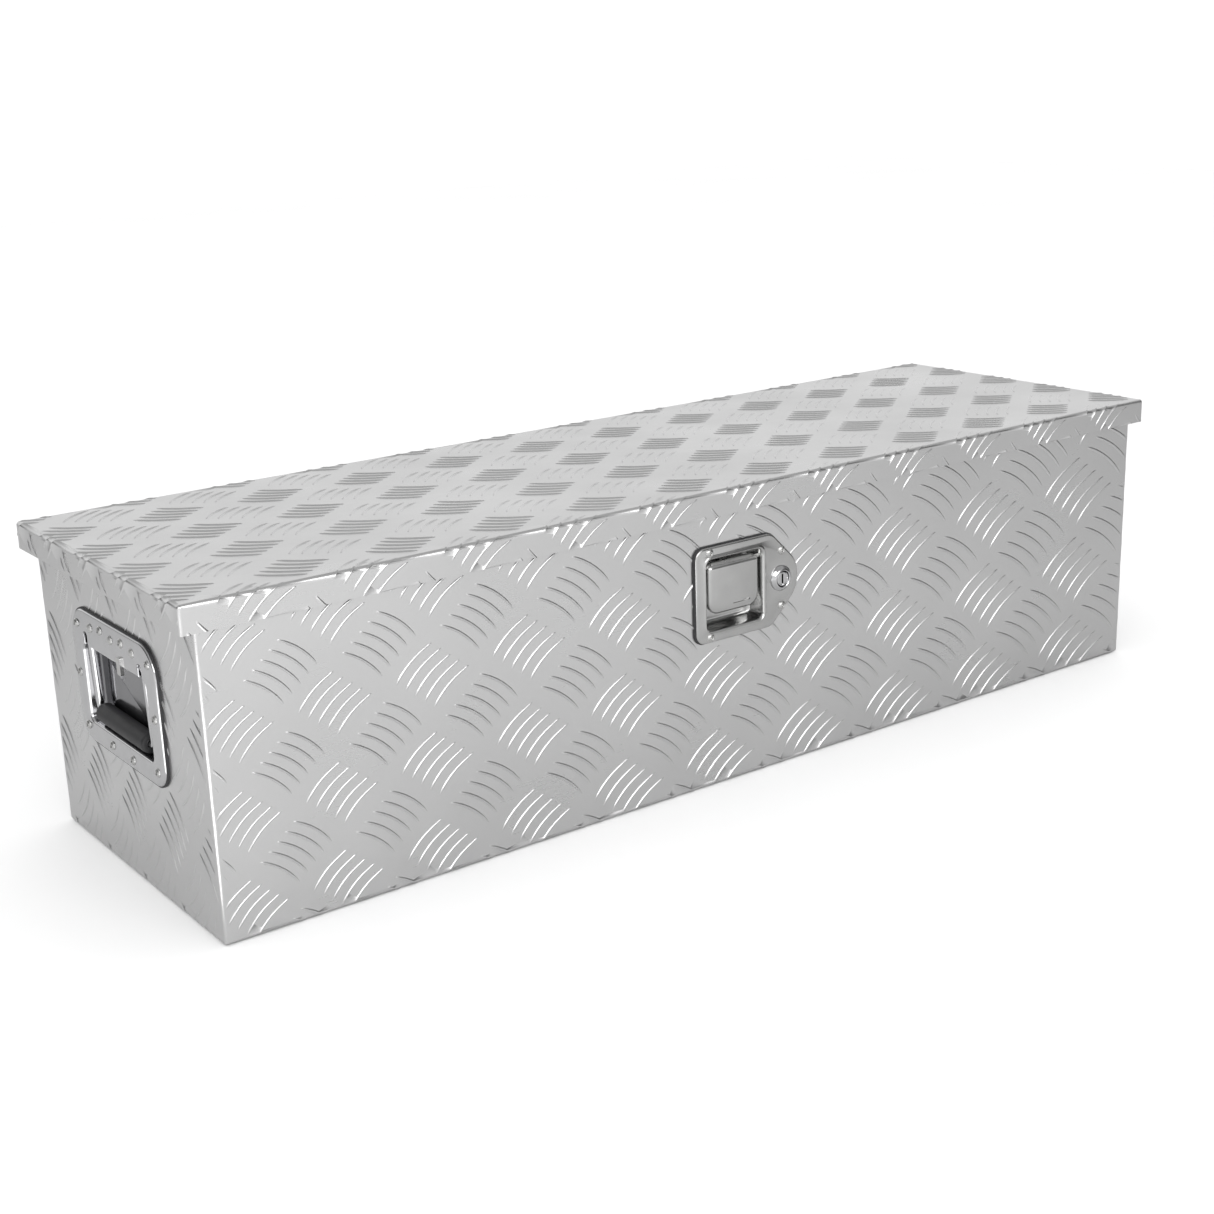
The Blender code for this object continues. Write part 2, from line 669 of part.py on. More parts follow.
def make_strut(side_name, side):
    """Cylinder, rod and the two brackets of one gas strut."""
    angle, length = strut_angle_and_length()
    centre_x = side * STRUT_X

    shape = bmesh.new()
    section = [(STRUT_TUBE_RADIUS, STRUT_TUBE_START),
               (STRUT_TUBE_RADIUS, STRUT_TUBE_END - STRUT_TUBE_CHAMFER),
               (STRUT_TUBE_RADIUS - STRUT_TUBE_CHAMFER, STRUT_TUBE_END)]
    add_turned(shape, section, "Y")
    cylinder = add_object("strut_cylinder_" + side_name, shape, "black_paint")
    bore_radius = STRUT_ROD_RADIUS + GAP
    bore = [(bore_radius, STRUT_BORE_START), (bore_radius, STRUT_TUBE_END + STRUT_TUBE_CHAMFER)]
    cut(cylinder, lambda s: add_turned(s, bore, "Y"))
    join(cylinder, lambda s: add_eye(s, 2 * EYE_RADIUS))
    shade_round(cylinder)
    cylinder.location = (centre_x, *STRUT_FOOT)
    cylinder.rotation_euler.x = angle

    shape = bmesh.new()
    rod_section = [(STRUT_ROD_RADIUS, STRUT_ROD_TAIL - length), (STRUT_ROD_RADIUS, -1.3 * EYE_RADIUS)]
    add_turned(shape, rod_section, "Y")
    rod = add_object("strut_rod_" + side_name, shape, "chrome")
    join(rod, lambda s: add_eye(s, -1.8 * EYE_RADIUS))
    shade_round(rod)
    rod.location = (centre_x, *STRUT_HEAD)
    rod.rotation_euler.x = angle

    make_strut_foot(side_name, side)
    make_strut_head(side_name, side)


def make_strut_foot(side_name, side):
    """Plate on the end wall with a shouldered stud through the cylinder's eye."""
    y, z = STRUT_FOOT
    wall = BODY_HALF_X - SHEET - GAP
    plate = rounded_rectangle(y - FOOT_HALF_WIDTH, y + FOOT_HALF_WIDTH, z - FOOT_HALF_HEIGHT,
                              z + FOOT_HALF_HEIGHT, BEND_RADIUS)
    shape = bmesh.new()
    add_prism(shape, plate, side * wall, side * (wall - STRUT_PLATE), "X")
    foot = add_object("strut_foot_" + side_name, shape, "zinc")
    outer = STRUT_X + EYE_THICKNESS / 2 + GAP
    inner = STRUT_X - EYE_THICKNESS / 2 - GAP
    profile = [(STUD_SHOULDER_RADIUS, side * (wall - STRUT_PLATE / 2)), (STUD_SHOULDER_RADIUS, side * outer),
               (STUD_RADIUS, side * outer), (STUD_RADIUS, side * inner), (STUD_BUTTON_RADIUS, side * inner),
               (STUD_RADIUS, side * (inner - STRUT_PLATE))]
    join(foot, lambda s: add_turned(s, profile, "X", (y, z), 12))


def make_strut_head(side_name, side):
    """Angle under the lid with a short stud that ends beside the rod's eye."""
    y, z = STRUT_HEAD
    top = LID_UNDERSIDE - GAP
    web = STRUT_X - EYE_THICKNESS / 2 - HEAD_WEB_CLEARANCE
    shape = bmesh.new()
    x_values = sorted((side * (web - HEAD_FLANGE), side * web))
    add_box(shape, (x_values[0], y - HEAD_HALF_LENGTH, top - STRUT_PLATE),
            (x_values[1], y + HEAD_HALF_LENGTH, top))
    head = add_object("strut_head_" + side_name, shape, "zinc")
    x_values = sorted((side * (web - STRUT_PLATE), side * (web - TAB_INSET)))
    outline = rounded_rectangle(y - HEAD_WEB_HALF_WIDTH, y + HEAD_WEB_HALF_WIDTH, z - HEAD_WEB_DROP,
                                top - STRUT_PLATE / 2, (0.006, 0.006, 0.001, 0.001))
    join(head, lambda s: add_prism(s, outline, x_values[0], x_values[1], "X"))
    stud = [(STUD_RADIUS, side * (web - STRUT_PLATE / 2)),
            (STUD_RADIUS, side * (STRUT_X - EYE_THICKNESS / 2 - 2 * GAP))]
    join(head, lambda s: add_turned(s, stud, "X", (y, z), 12))
    put_origin(head, (0.0, HINGE_Y, HINGE_Z))


# ---------------------------------------------------------------- latch

def latch_place(u, v, depth):
    """Point of the latch from its offsets across and up and its depth behind the plate's face."""
    return (LATCH_X + u, LATCH_FACE_Y + depth, LATCH_Z + v)


def latch_outline(grow=0.0):
    """Straight left side, sloping shoulders and a rounded nose round the lock."""
    left, half = -LATCH_WIDTH / 2 - grow, LATCH_HEIGHT / 2 + grow
    shoulder = -LATCH_WIDTH / 2 + SHOULDER
    corners = [(left, -half), (shoulder, -half), (shoulder + half, 0.0), (shoulder, half), (left, half)]
    return rounded_polygon(corners, (0.009, 0.012, NOSE_RADIUS + grow, 0.012, 0.009), 5)


def dish_ring(inset, depth):
    """Ring of the latch's dish, pulled in from its opening."""
    u, v = DISH_CENTRE
    half_u, half_v = DISH_WIDTH / 2 - inset, DISH_HEIGHT / 2 - inset
    return rounded_rectangle(u - half_u, u + half_u, v - half_v, v + half_v, DISH_CORNER), depth


def make_latch_plate():
    """Stainless plate with a pressed dish, a rolled edge and holes for lock, pin and arm."""
    front = [dish_ring(0.0, 0.0), dish_ring(0.0009, 0.0005), dish_ring(0.0015, 0.0018),
             dish_ring(0.0025, DISH_DEPTH - 0.002), dish_ring(0.0045, DISH_DEPTH)]
    back = [dish_ring(-0.0002, LATCH_SHEET), dish_ring(0.0005, 0.0022),
            dish_ring(0.0015, DISH_DEPTH - 0.0015), dish_ring(0.0037, DISH_DEPTH + LATCH_SHEET)]
    lock = circle(LOCK_BODY_RADIUS + GAP, (LOCK_X - LATCH_X, 0.0), LOCK_STEPS)
    shape = bmesh.new()
    add_dished_plate(shape, [latch_outline(), front[0][0], lock, *rivet_holes(LATCH_RIVETS)], latch_place,
                     LATCH_SHEET, front[1:], back)
    plate = add_object("latch_plate", shape, "stainless")
    pin_spot = (LATCH_FACE_Y + PADDLE_AXIS_DEPTH, PADDLE_AXIS_Z)
    pin_hole = circle(PADDLE_PIN_RADIUS + GAP, pin_spot, 12)
    reach = DISH_WIDTH / 2 + LATCH_SHEET
    floor = LATCH_FACE_Y + DISH_DEPTH
    cut(plate,
        lambda s: add_prism(s, pin_hole, DISH_X - reach, DISH_X + reach, "X"),
        lambda s: add_box(s, (DISH_X - ARM_SLOT_HALF_WIDTH, floor - SHEET, LATCH_Z + ARM_SLOT_LOW),
                          (DISH_X + ARM_SLOT_HALF_WIDTH, floor + 2 * SHEET, LATCH_Z + ARM_SLOT_HIGH)))


def make_latch_gasket():
    """Rubber gasket between the latch plate and the front wall, open behind the dish and the lock."""
    outline = [(LATCH_X + u, LATCH_Z + v) for u, v in latch_outline(GASKET_SHOW)]
    shape = bmesh.new()
    add_prism(shape, outline, LATCH_FACE_Y + LATCH_SHEET + GAP, -BODY_HALF_Y - GAP, "Y", latch_openings())
    add_object("latch_gasket", shape, "black_rubber")


def make_paddle():
    """Pull paddle with a rolled barrel, an inward lip for the fingers and the arm that works the hook."""
    axis_y = LATCH_FACE_Y + PADDLE_AXIS_DEPTH
    face = LATCH_FACE_Y + PADDLE_FACE
    half = PADDLE_WIDTH / 2
    outline = rounded_rectangle(DISH_X - half, DISH_X + half, LATCH_Z + PADDLE_BOTTOM, LATCH_Z + PADDLE_TOP,
                                (0.011, 0.011, 0.003, 0.003), 5)
    shape = bmesh.new()
    add_prism(shape, outline, face, face + PADDLE_SHEET, "Y")
    paddle = add_object("paddle", shape, "stainless")
    barrel = [(PADDLE_BARREL_RADIUS, DISH_X - PADDLE_BARREL_LENGTH / 2),
              (PADDLE_BARREL_RADIUS, DISH_X + PADDLE_BARREL_LENGTH / 2)]
    bore = circle(PADDLE_PIN_RADIUS + GAP, (axis_y, PADDLE_AXIS_Z), 12)
    lip = LATCH_Z + PADDLE_BOTTOM
    join(paddle,
         lambda s: add_turned(s, barrel, "X", (axis_y, PADDLE_AXIS_Z)),
         lambda s: add_box(s, (DISH_X - PADDLE_ARM_HALF_WIDTH, axis_y,
                               PADDLE_AXIS_Z - PADDLE_ARM_HALF_HEIGHT),
                           (DISH_X + PADDLE_ARM_HALF_WIDTH, axis_y + PADDLE_ARM_REACH,
                            PADDLE_AXIS_Z + PADDLE_ARM_HALF_HEIGHT)),
         lambda s: add_box(s, (DISH_X - PADDLE_LIP_HALF_WIDTH, face + PADDLE_SHEET / 2, lip + GAP),
                           (DISH_X + PADDLE_LIP_HALF_WIDTH, face + PADDLE_LIP_DEPTH, lip + PADDLE_SHEET)))
    cut(paddle, lambda s: add_prism(s, bore, DISH_X - half, DISH_X + half, "X"))
    put_origin(paddle, (DISH_X, axis_y, PADDLE_AXIS_Z))

    reach = DISH_WIDTH / 2 + GAP
    shape = bmesh.new()
    add_turned(shape, [(PADDLE_PIN_RADIUS, -reach), (PADDLE_PIN_RADIUS, reach)], "X", (0.0, 0.0), 12)
    pin = add_object("paddle_pin", shape, "zinc", smooth=True)
    pin.location = (DISH_X, axis_y, PADDLE_AXIS_Z)


def make_paddle_spring():
    """Torsion spring round the paddle's pin, between the barrel and the side of the dish."""
    barrel_end = DISH_X - PADDLE_BARREL_LENGTH / 2
    start = Vector((barrel_end - 2 * GAP, LATCH_FACE_Y + PADDLE_AXIS_DEPTH, PADDLE_AXIS_Z))
    along = Vector((1.0, 0.0, 0.0))
    shape = bmesh.new()
    rings = []
    for step in range(SPRING_TURNS * SPRING_STEPS + 1):
        angle = math.tau * step / SPRING_STEPS
        outward = Vector((0.0, math.cos(angle), math.sin(angle)))
        middle = start + SPRING_RADIUS * outward - SPRING_PITCH * step / SPRING_STEPS * along
        wire = circle(SPRING_WIRE, steps=6)
        rings.append(add_ring(shape, [middle + a * outward + b * along for a, b in wire]))
    for ring, other in zip(rings, rings[1:]):
        bridge(shape, ring, other)
    shape.faces.new(rings[0])
    shape.faces.new(rings[-1])
    add_object("paddle_spring", shape, "zinc", smooth=True)


def make_latch_bracket():
    """Base behind the dish with two cheeks that carry the hook's pin."""
    low = LATCH_FACE_Y + DISH_DEPTH + LATCH_SHEET + GAP
    axis_y, axis_z = HOOK_AXIS
    base = rounded_rectangle(DISH_X - BRACKET_HALF_WIDTH, DISH_X + BRACKET_HALF_WIDTH,
                             LATCH_Z + BRACKET_LOW, LATCH_Z + BRACKET_HIGH, 0.003)
    window = rounded_rectangle(DISH_X - ARM_SLOT_HALF_WIDTH, DISH_X + ARM_SLOT_HALF_WIDTH,
                               LATCH_Z + ARM_SLOT_LOW - GAP, LATCH_Z + ARM_SLOT_HIGH + 2 * GAP, 0.001)
    shape = bmesh.new()
    add_prism(shape, base, low, low + SHEET, "Y", [window])
    bracket = add_object("latch_bracket", shape, "zinc")
    cheek = rounded_polygon([(low + GAP, LATCH_Z + CHEEK_LOW), (axis_y + CHEEK_NOSE, axis_z - CHEEK_NOSE),
                             (axis_y + CHEEK_NOSE, axis_z + CHEEK_NOSE), (low + GAP, LATCH_Z + CHEEK_HIGH)],
                            (GAP, 0.005, 0.005, GAP), 3)
    hole = circle(HOOK_PIN_RADIUS + GAP, HOOK_AXIS, 12)
    for side in (-1, 1):
        near, far = DISH_X + side * CHEEK_OFFSET, DISH_X + side * (CHEEK_OFFSET + SHEET)
        join(bracket, lambda s, a=near, b=far: add_prism(s, cheek, a, b, "X", [hole]))

    reach = CHEEK_OFFSET + 2 * SHEET
    shape = bmesh.new()
    add_turned(shape, [(HOOK_PIN_RADIUS, -reach), (HOOK_PIN_RADIUS, reach)], "X", (0.0, 0.0), 12)
    pin = add_object("hook_pin", shape, "zinc", smooth=True)
    pin.location = (DISH_X, *HOOK_AXIS)


def make_hook():
    """Hook whose tail lies under the paddle's arm and whose beak comes up to the striker's bar."""
    y, z = HOOK_AXIS
    beak = STRIKER_Y - STRIKER_BAR_RADIUS - 2 * GAP
    throat = STRIKER_Z + STRIKER_BAR_RADIUS
    top = throat + 0.0055
    tail = LATCH_FACE_Y + DISH_DEPTH + LATCH_SHEET + SHEET + 0.0011
    underside = [(tail, z - 0.0042), (y - 0.006, z - 0.006), (y, z - 0.0075), (y + 0.006, z - 0.0045)]
    back = [(y + 0.0075, z + 0.002), (y + 0.003, z + 0.010), (y + 0.003, throat)]
    nose = [(beak - 0.0008, throat + 0.0007), (beak, throat + 0.0017), (beak - 0.0035, top)]
    front = [(y - 0.0015, top), (y - 0.004, top - 0.003), (y - 0.004, z + 0.008), (y - 0.009, z + 0.0015)]
    tail_top = [(y - 0.013, z - 0.0006), (tail, z - 0.0006)]
    half = HOOK_THICKNESS / 2
    bore = circle(HOOK_PIN_RADIUS + GAP, HOOK_AXIS, 12)
    shape = bmesh.new()
    add_prism(shape, underside + back + nose + front + tail_top, DISH_X - half, DISH_X + half, "X", [bore])
    put_origin(add_object("latch_hook", shape, "zinc"), (DISH_X, y, z))


def make_striker():
    """Loop under the lid: a base, two legs and the bar that the hook takes."""
    top = LID_UNDERSIDE - GAP
    shape = bmesh.new()
    add_box(shape, (DISH_X - STRIKER_BASE_HALF_WIDTH, STRIKER_Y - STRIKER_BASE_FRONT, top - STRIKER_SHEET),
            (DISH_X + STRIKER_BASE_HALF_WIDTH, STRIKER_Y + STRIKER_BASE_BACK, top))
    striker = add_object("lid_striker", shape, "zinc")
    half = STRIKER_LEG_HALF_DEPTH
    outline = rounded_rectangle(STRIKER_Y - half, STRIKER_Y + half, STRIKER_Z - half, top - STRIKER_SHEET / 2,
                                (0.004, 0.004, GAP, GAP))
    for side in (-1, 1):
        near = DISH_X + side * STRIKER_LEG_OFFSET
        far = near + side * STRIKER_SHEET
        join(striker, lambda s, a=near, b=far: add_prism(s, outline, a, b, "X"))
    reach = STRIKER_LEG_OFFSET + STRIKER_SHEET / 2
    bar = [(STRIKER_BAR_RADIUS, DISH_X - reach), (STRIKER_BAR_RADIUS, DISH_X + reach)]
    join(striker, lambda s: add_turned(s, bar, "X", (STRIKER_Y, STRIKER_Z), 12))
    put_origin(striker, (0.0, HINGE_Y, HINGE_Z))


def make_lock():
    """Cylinder lock: barrel, hexagon nut behind the wall, keyed plug and the cam on its tail."""
    spot = (LOCK_X, LATCH_Z)
    front, end = LATCH_FACE_Y - LOCK_PROUD, LATCH_FACE_Y + LOCK_LENGTH
    shape = bmesh.new()
    section = [(LOCK_BORE_RADIUS, front + LOCK_EDGE / 2), (LOCK_BORE_RADIUS + LOCK_EDGE, front),
               (LOCK_FLANGE_RADIUS - LOCK_EDGE, front), (LOCK_FLANGE_RADIUS, front + LOCK_EDGE),
               (LOCK_FLANGE_RADIUS, LATCH_FACE_Y - GAP), (LOCK_BODY_RADIUS, LATCH_FACE_Y - GAP),
               (LOCK_BODY_RADIUS, end), (LOCK_BORE_RADIUS, end)]
    add_turned_ring(shape, section, "Y", spot, LOCK_STEPS)
    add_object("lock_barrel", shape, "chrome", smooth=True)

    nut_face = -BODY_HALF_Y + SHEET + GAP
    shape = bmesh.new()
    add_prism(shape, circle(NUT_RADIUS, spot, 6), nut_face, nut_face + NUT_HEIGHT, "Y",
              [circle(LOCK_BODY_RADIUS + GAP, spot, LOCK_STEPS)])
    add_object("lock_nut", shape, "zinc")

    tail = end + LOCK_TAIL
    shape = bmesh.new()
    profile = [(LOCK_PLUG_RADIUS - LOCK_EDGE / 2, front + LOCK_EDGE / 2),
               (LOCK_PLUG_RADIUS, front + LOCK_EDGE), (LOCK_PLUG_RADIUS, tail),
               (STUD_RADIUS, tail), (STUD_RADIUS, tail + 2 * CAM_THICKNESS)]
    add_turned(shape, profile, "Y", spot, LOCK_STEPS)
    plug = add_object("lock_plug", shape, "chrome")
    low = (LOCK_X - KEYWAY_HALF_WIDTH, front - KEYWAY_DEPTH, LATCH_Z - KEYWAY_HALF_HEIGHT)
    high = (LOCK_X + KEYWAY_HALF_WIDTH, front + KEYWAY_DEPTH, LATCH_Z + KEYWAY_HALF_HEIGHT)
    cut(plug, lambda s: add_box(s, low, high))
    shade_round(plug)
    put_origin(plug, (LOCK_X, LATCH_FACE_Y, LATCH_Z))

    outline = rounded_rectangle(LOCK_X - CAM_HALF_WIDTH, LOCK_X + CAM_HALF_WIDTH, LATCH_Z - CAM_REACH,
                                LATCH_Z + CAM_TOP, 0.005)
    shape = bmesh.new()
    bore = circle(STUD_RADIUS + GAP, spot, 12)
    add_prism(shape, outline, tail + GAP, tail + GAP + CAM_THICKNESS, "Y", [bore])
    put_origin(add_object("lock_cam", shape, "zinc"), (LOCK_X, tail, LATCH_Z))


# ---------------------------------------------------------------- rivets

def rivet_profile(stack):
    """Domed head outside, shank through the stack and a set tail inside, along the outward axis."""
    head, rise = RIVET_HEAD_RADIUS, RIVET_HEAD_HEIGHT
    return [(head * 0.35, GAP + rise), (head * 0.8, GAP + rise * 0.7), (head, GAP + rise * 0.2), (head, GAP),
            (RIVET_RADIUS, GAP), (RIVET_RADIUS, -stack - GAP), (RIVET_TAIL_RADIUS, -stack - GAP),
            (RIVET_TAIL_RADIUS * 0.8, -stack - GAP - RIVET_TAIL_HEIGHT)]


def make_latch_rivets():
    """Four rivets round the latch plate."""
    profile = [(radius, LATCH_FACE_Y - along) for radius, along in rivet_profile(LATCH_RAISE + SHEET)]
    for number, (u, v) in enumerate(LATCH_RIVETS, 1):
        shape = bmesh.new()
        add_turned(shape, profile, "Y", (0.0, 0.0), RIVET_STEPS)
        rivet = add_object(f"latch_rivet_{number}", shape, "zinc", smooth=True)
        rivet.location = (LATCH_X + u, 0.0, LATCH_Z + v)


# ---------------------------------------------------------------- end handles
# Built for the +X end: X points outward from the plate's face, Y across and Z up from its centre.

def handle_place(u, v, depth):
    """Point of a handle from its offsets across and up and its depth behind the plate's face."""
    return (-depth, u, v)


def well_ring(inset, depth):
    """Ring of the handle's well, pulled in from its opening."""
    half = WELL_HALF_WIDTH - inset
    return rounded_rectangle(-half, half, WELL_LOW + inset, WELL_HIGH - inset, WELL_CORNER), depth


def make_handle_plate(name):
    """Pressed plate with a shallow well and a slot at the top of the well for each arm of the bail."""
    half_u, half_v = HANDLE_WIDTH / 2, HANDLE_HEIGHT / 2
    outline = rounded_rectangle(-half_u, half_u, -half_v, half_v, HANDLE_RADII)
    front = [well_ring(0.0, 0.0), well_ring(0.0004, 0.0008), well_ring(0.0035, WELL_DEPTH - 0.001),
             well_ring(0.0045, WELL_DEPTH)]
    back = [well_ring(-0.0009, HANDLE_SHEET), well_ring(0.0026, WELL_DEPTH - 0.0008),
            well_ring(0.0042, WELL_DEPTH + HANDLE_SHEET)]
    holes = rivet_holes(HANDLE_RIVETS + HANDLE_STUDS)
    shape = bmesh.new()
    add_dished_plate(shape, [outline, front[0][0], *holes], handle_place, HANDLE_SHEET, front[1:], back)
    plate = add_object(name, shape, "chrome")
    for side in (-1, 1):
        near, far = side * BAIL_HALF_WIDTH - NOTCH_HALF_WIDTH, side * BAIL_HALF_WIDTH + NOTCH_HALF_WIDTH
        cut(plate, lambda s, a=near, b=far: add_box(s, (-NOTCH_DEPTH, a, WELL_HIGH - NOTCH_OVERLAP),
                                                    (NOTCH_DEPTH, b, NOTCH_TOP)))
    return plate


def make_handle_gasket(name):
    """Rubber gasket between the handle plate and the end panel."""
    half_u, half_v = HANDLE_WIDTH / 2 + GASKET_SHOW, HANDLE_HEIGHT / 2 + GASKET_SHOW
    outline = rounded_rectangle(-half_u, half_u, -half_v, half_v, HANDLE_RADII)
    shape = bmesh.new()
    add_prism(shape, outline, GAP - HANDLE_RAISE, -HANDLE_SHEET - GAP, "X", handle_openings())
    return add_object(name, shape, "black_rubber")


def make_handle_bracket(name):
    """Strap behind the panel with an ear for each end of the bail and three headed studs."""
    back = -HANDLE_RAISE - SHEET - GAP
    strap_back = back - SHEET
    strap = rounded_rectangle(-STRAP_HALF_LENGTH, STRAP_HALF_LENGTH, STRAP_LOW, STRAP_HIGH, GAP, 2)
    shape = bmesh.new()
    add_prism(shape, strap, strap_back, back, "X")
    bracket = add_object(name, shape, "zinc")
    front = -HANDLE_SHEET - 2 * GAP
    bore = BAIL_RADIUS + GAP
    saddle = [math.radians(270) - math.pi * step / SADDLE_STEPS for step in range(SADDLE_STEPS + 1)]
    ear = [(strap_back - EAR_BACK, STRAP_HIGH - GAP), (strap_back - EAR_BACK, EAR_LOW), (front, EAR_LOW),
           (front, BAIL_AXIS - bore)]
    ear += [(bore * math.cos(angle) - BAIL_DEPTH, BAIL_AXIS + bore * math.sin(angle)) for angle in saddle]
    ear += [(front, BAIL_AXIS + bore), (front, EAR_SHELF), (back - GAP / 2, EAR_SHELF),
            (back - GAP / 2, STRAP_HIGH - GAP)]
    for side in (-1, 1):
        near = side * (STRAP_HALF_LENGTH - GAP)
        far = near - side * SHEET
        join(bracket, lambda s, a=near, b=far: add_prism(s, ear, a, b, "Y"))
    headed = rivet_profile(-strap_back)[:5]
    headed.append((RIVET_RADIUS, strap_back + SHEET / 2))
    for spot in HANDLE_STUDS:
        join(bracket, lambda s, at=spot: add_turned(s, headed, "X", at, RIVET_STEPS))
    return bracket


def make_bail(name):
    """Round steel bail: two arms, a crossbar and two stubs turned inward, round its own axis."""
    half, stub, reach = BAIL_HALF_WIDTH, BAIL_STUB_END, BAIL_REACH
    corners = [(-stub, 0.0), (-half, 0.0), (-half, -reach), (half, -reach), (half, 0.0), (stub, 0.0)]
    bends = [STUB_BEND, BAIL_BEND, BAIL_BEND, STUB_BEND]
    flat = [corners[0]]
    for before, corner, after, bend in zip(corners, corners[1:], corners[2:], bends):
        flat += fillet(before, corner, after, bend, 4)
    flat.append(corners[-1])
    path = [Vector((0.0, across, up)) for across, up in flat]
    shape = bmesh.new()
    add_swept_rod(shape, path, BAIL_RADIUS, Vector((1.0, 0.0, 0.0)))
    return add_object(name, shape, "chrome", smooth=True)


def make_grip(name):
    """Rubber sleeve on the crossbar of the bail, round the bail's axis."""
    half, bore = GRIP_HALF_LENGTH, BAIL_RADIUS + GAP
    section = [(bore, -half), (GRIP_RADIUS - GRIP_EDGE, -half), (GRIP_RADIUS, GRIP_EDGE - half),
               (GRIP_RADIUS, half - GRIP_EDGE), (GRIP_RADIUS - GRIP_EDGE, half), (bore, half)]
    shape = bmesh.new()
    add_turned_ring(shape, section, "Y", (0.0, -BAIL_REACH), 18)
    return add_object(name, shape, "black_rubber", smooth=True)


def make_handle_rivet(name):
    """One rivet of a handle plate."""
    shape = bmesh.new()
    add_turned(shape, rivet_profile(HANDLE_RAISE + SHEET), "X", (0.0, 0.0), RIVET_STEPS)
    return add_object(name, shape, "zinc", smooth=True)


def make_handle(side_name, turn):
    """All pieces of one end handle, carried by an empty on the plate's face."""
    outward = math.cos(turn)
    base = stand("handle_" + side_name, (outward * (BODY_HALF_X + HANDLE_RAISE), 0.0, HANDLE_Z), turn)
    fixed = [make_handle_plate("handle_plate_" + side_name), make_handle_gasket("handle_gasket_" + side_name),
             make_handle_bracket("handle_bracket_" + side_name)]
    for thing in fixed:
        thing.parent = base
    for number, (u, v) in enumerate(HANDLE_RIVETS, 1):
        rivet = make_handle_rivet(f"handle_rivet_{side_name}_{number}")
        rivet.parent = base
        rivet.location = (0.0, u, v)
    axis = stand("bail_axis_" + side_name, (-BAIL_DEPTH, 0.0, BAIL_AXIS))
    axis.rotation_euler.y = -BAIL_TILT
    axis.parent = base
    for thing in (make_bail("bail_" + side_name), make_grip("grip_" + side_name)):
        thing.parent = axis


# ---------------------------------------------------------------- assembly

def main():
    for thing in list(bpy.data.objects):
        bpy.data.objects.remove(thing)
    make_body_shell()
    make_end_panel()
    make_weather_seal()
    make_lid()
    make_hinge()
    for side_name, side in (("left", -1), ("right", 1)):
        make_strut(side_name, side)
    make_latch_plate()
    make_latch_gasket()
    make_paddle()
    make_paddle_spring()
    make_latch_bracket()
    make_hook()
    make_striker()
    make_lock()
    make_latch_rivets()
    for side_name, turn in (("left", math.pi), ("right", 0.0)):
        make_handle(side_name, turn)


main()
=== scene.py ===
"""Looks of the tread-plate truck tool box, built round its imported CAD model.

The folded sheets get real raised bars, and the latch, lock, handles, grips, gaskets and rivets get finer
meshes, each riding on the CAD body that it belongs to. Lengths are in metres in the CAD model's frame:
X along the length, -Y towards the latch side, Z up.
"""
import json
import math

import bmesh
import bpy
import numpy as np
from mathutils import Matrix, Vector
from mathutils.geometry import delaunay_2d_cdt, tessellate_polygon


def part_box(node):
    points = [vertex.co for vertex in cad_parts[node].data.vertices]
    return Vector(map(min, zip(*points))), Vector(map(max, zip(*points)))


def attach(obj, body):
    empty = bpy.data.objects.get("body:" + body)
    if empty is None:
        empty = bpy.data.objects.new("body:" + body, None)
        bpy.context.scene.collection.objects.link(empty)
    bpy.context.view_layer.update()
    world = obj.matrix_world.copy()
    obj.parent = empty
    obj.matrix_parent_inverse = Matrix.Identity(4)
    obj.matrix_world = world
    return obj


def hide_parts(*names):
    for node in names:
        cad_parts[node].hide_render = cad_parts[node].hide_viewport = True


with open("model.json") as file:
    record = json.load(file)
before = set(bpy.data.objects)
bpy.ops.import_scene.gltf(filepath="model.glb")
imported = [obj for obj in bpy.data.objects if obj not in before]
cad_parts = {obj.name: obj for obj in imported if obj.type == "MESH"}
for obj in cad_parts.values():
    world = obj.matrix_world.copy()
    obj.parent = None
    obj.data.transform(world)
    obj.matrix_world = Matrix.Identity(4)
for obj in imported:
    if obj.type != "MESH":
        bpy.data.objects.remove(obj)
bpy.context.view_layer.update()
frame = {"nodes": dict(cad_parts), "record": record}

# Sheets: the base of each sheet lies a little inside the CAD face, and the raised bars reach a little outside
SETBACK = 0.0005
PLATE = 0.001
BEND = 0.0025
BEND_STEPS = 5
BEND_THINNING = 0.75
GUARD = 0.0004
LIP_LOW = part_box("lid_pan")[0].z
LID_HALF_X, LID_HALF_Y, LID_TOP = (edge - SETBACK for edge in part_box("lid_pan")[1])
BODY_HALF_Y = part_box("body_shell")[1].y - SETBACK
BODY_HALF_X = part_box("end_panel_right")[1].x - SETBACK
BODY_LOW = SETBACK
BODY_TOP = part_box("body_shell")[1].z - SETBACK
RIM_WIDTH = 0.0195
END_RIM_HALF = 0.1277
WELD_RISE = 0.00035
WELD_STEP = 0.004
SHARP_ANGLE = math.radians(35)
SIDES = (("left", -1), ("right", 1))

# Raised bars
BAR_RISE = 0.0008
BAR_HALF_LENGTH = 0.0205
BAR_HALF_WIDTH = 0.0011
BAR_BOW = 0.0034
BAR_TAPER = 5
BAR_STEP = 0.0094
BARS_IN_GROUP = 5
BAR_LEVELS = (1.0, 0.55, 0.2)
BAR_STEPS = 9
BAR_CREST = (-0.6, -0.3, 0.0, 0.3, 0.6)
BAR_REACH = 0.042
SEAM_FADE = 0.005
TILE = (0.088, 0.070)
LEAN = math.atan2(TILE[1], TILE[0])
BODY_ORIGIN = (-0.4655, 0.022)
END_ORIGIN = (-0.1347, 0.0627)
END_SIZE = 1.13
LID_TILE = (0.08875, 0.070)
LID_ORIGIN = (-0.4875, 0.0195)

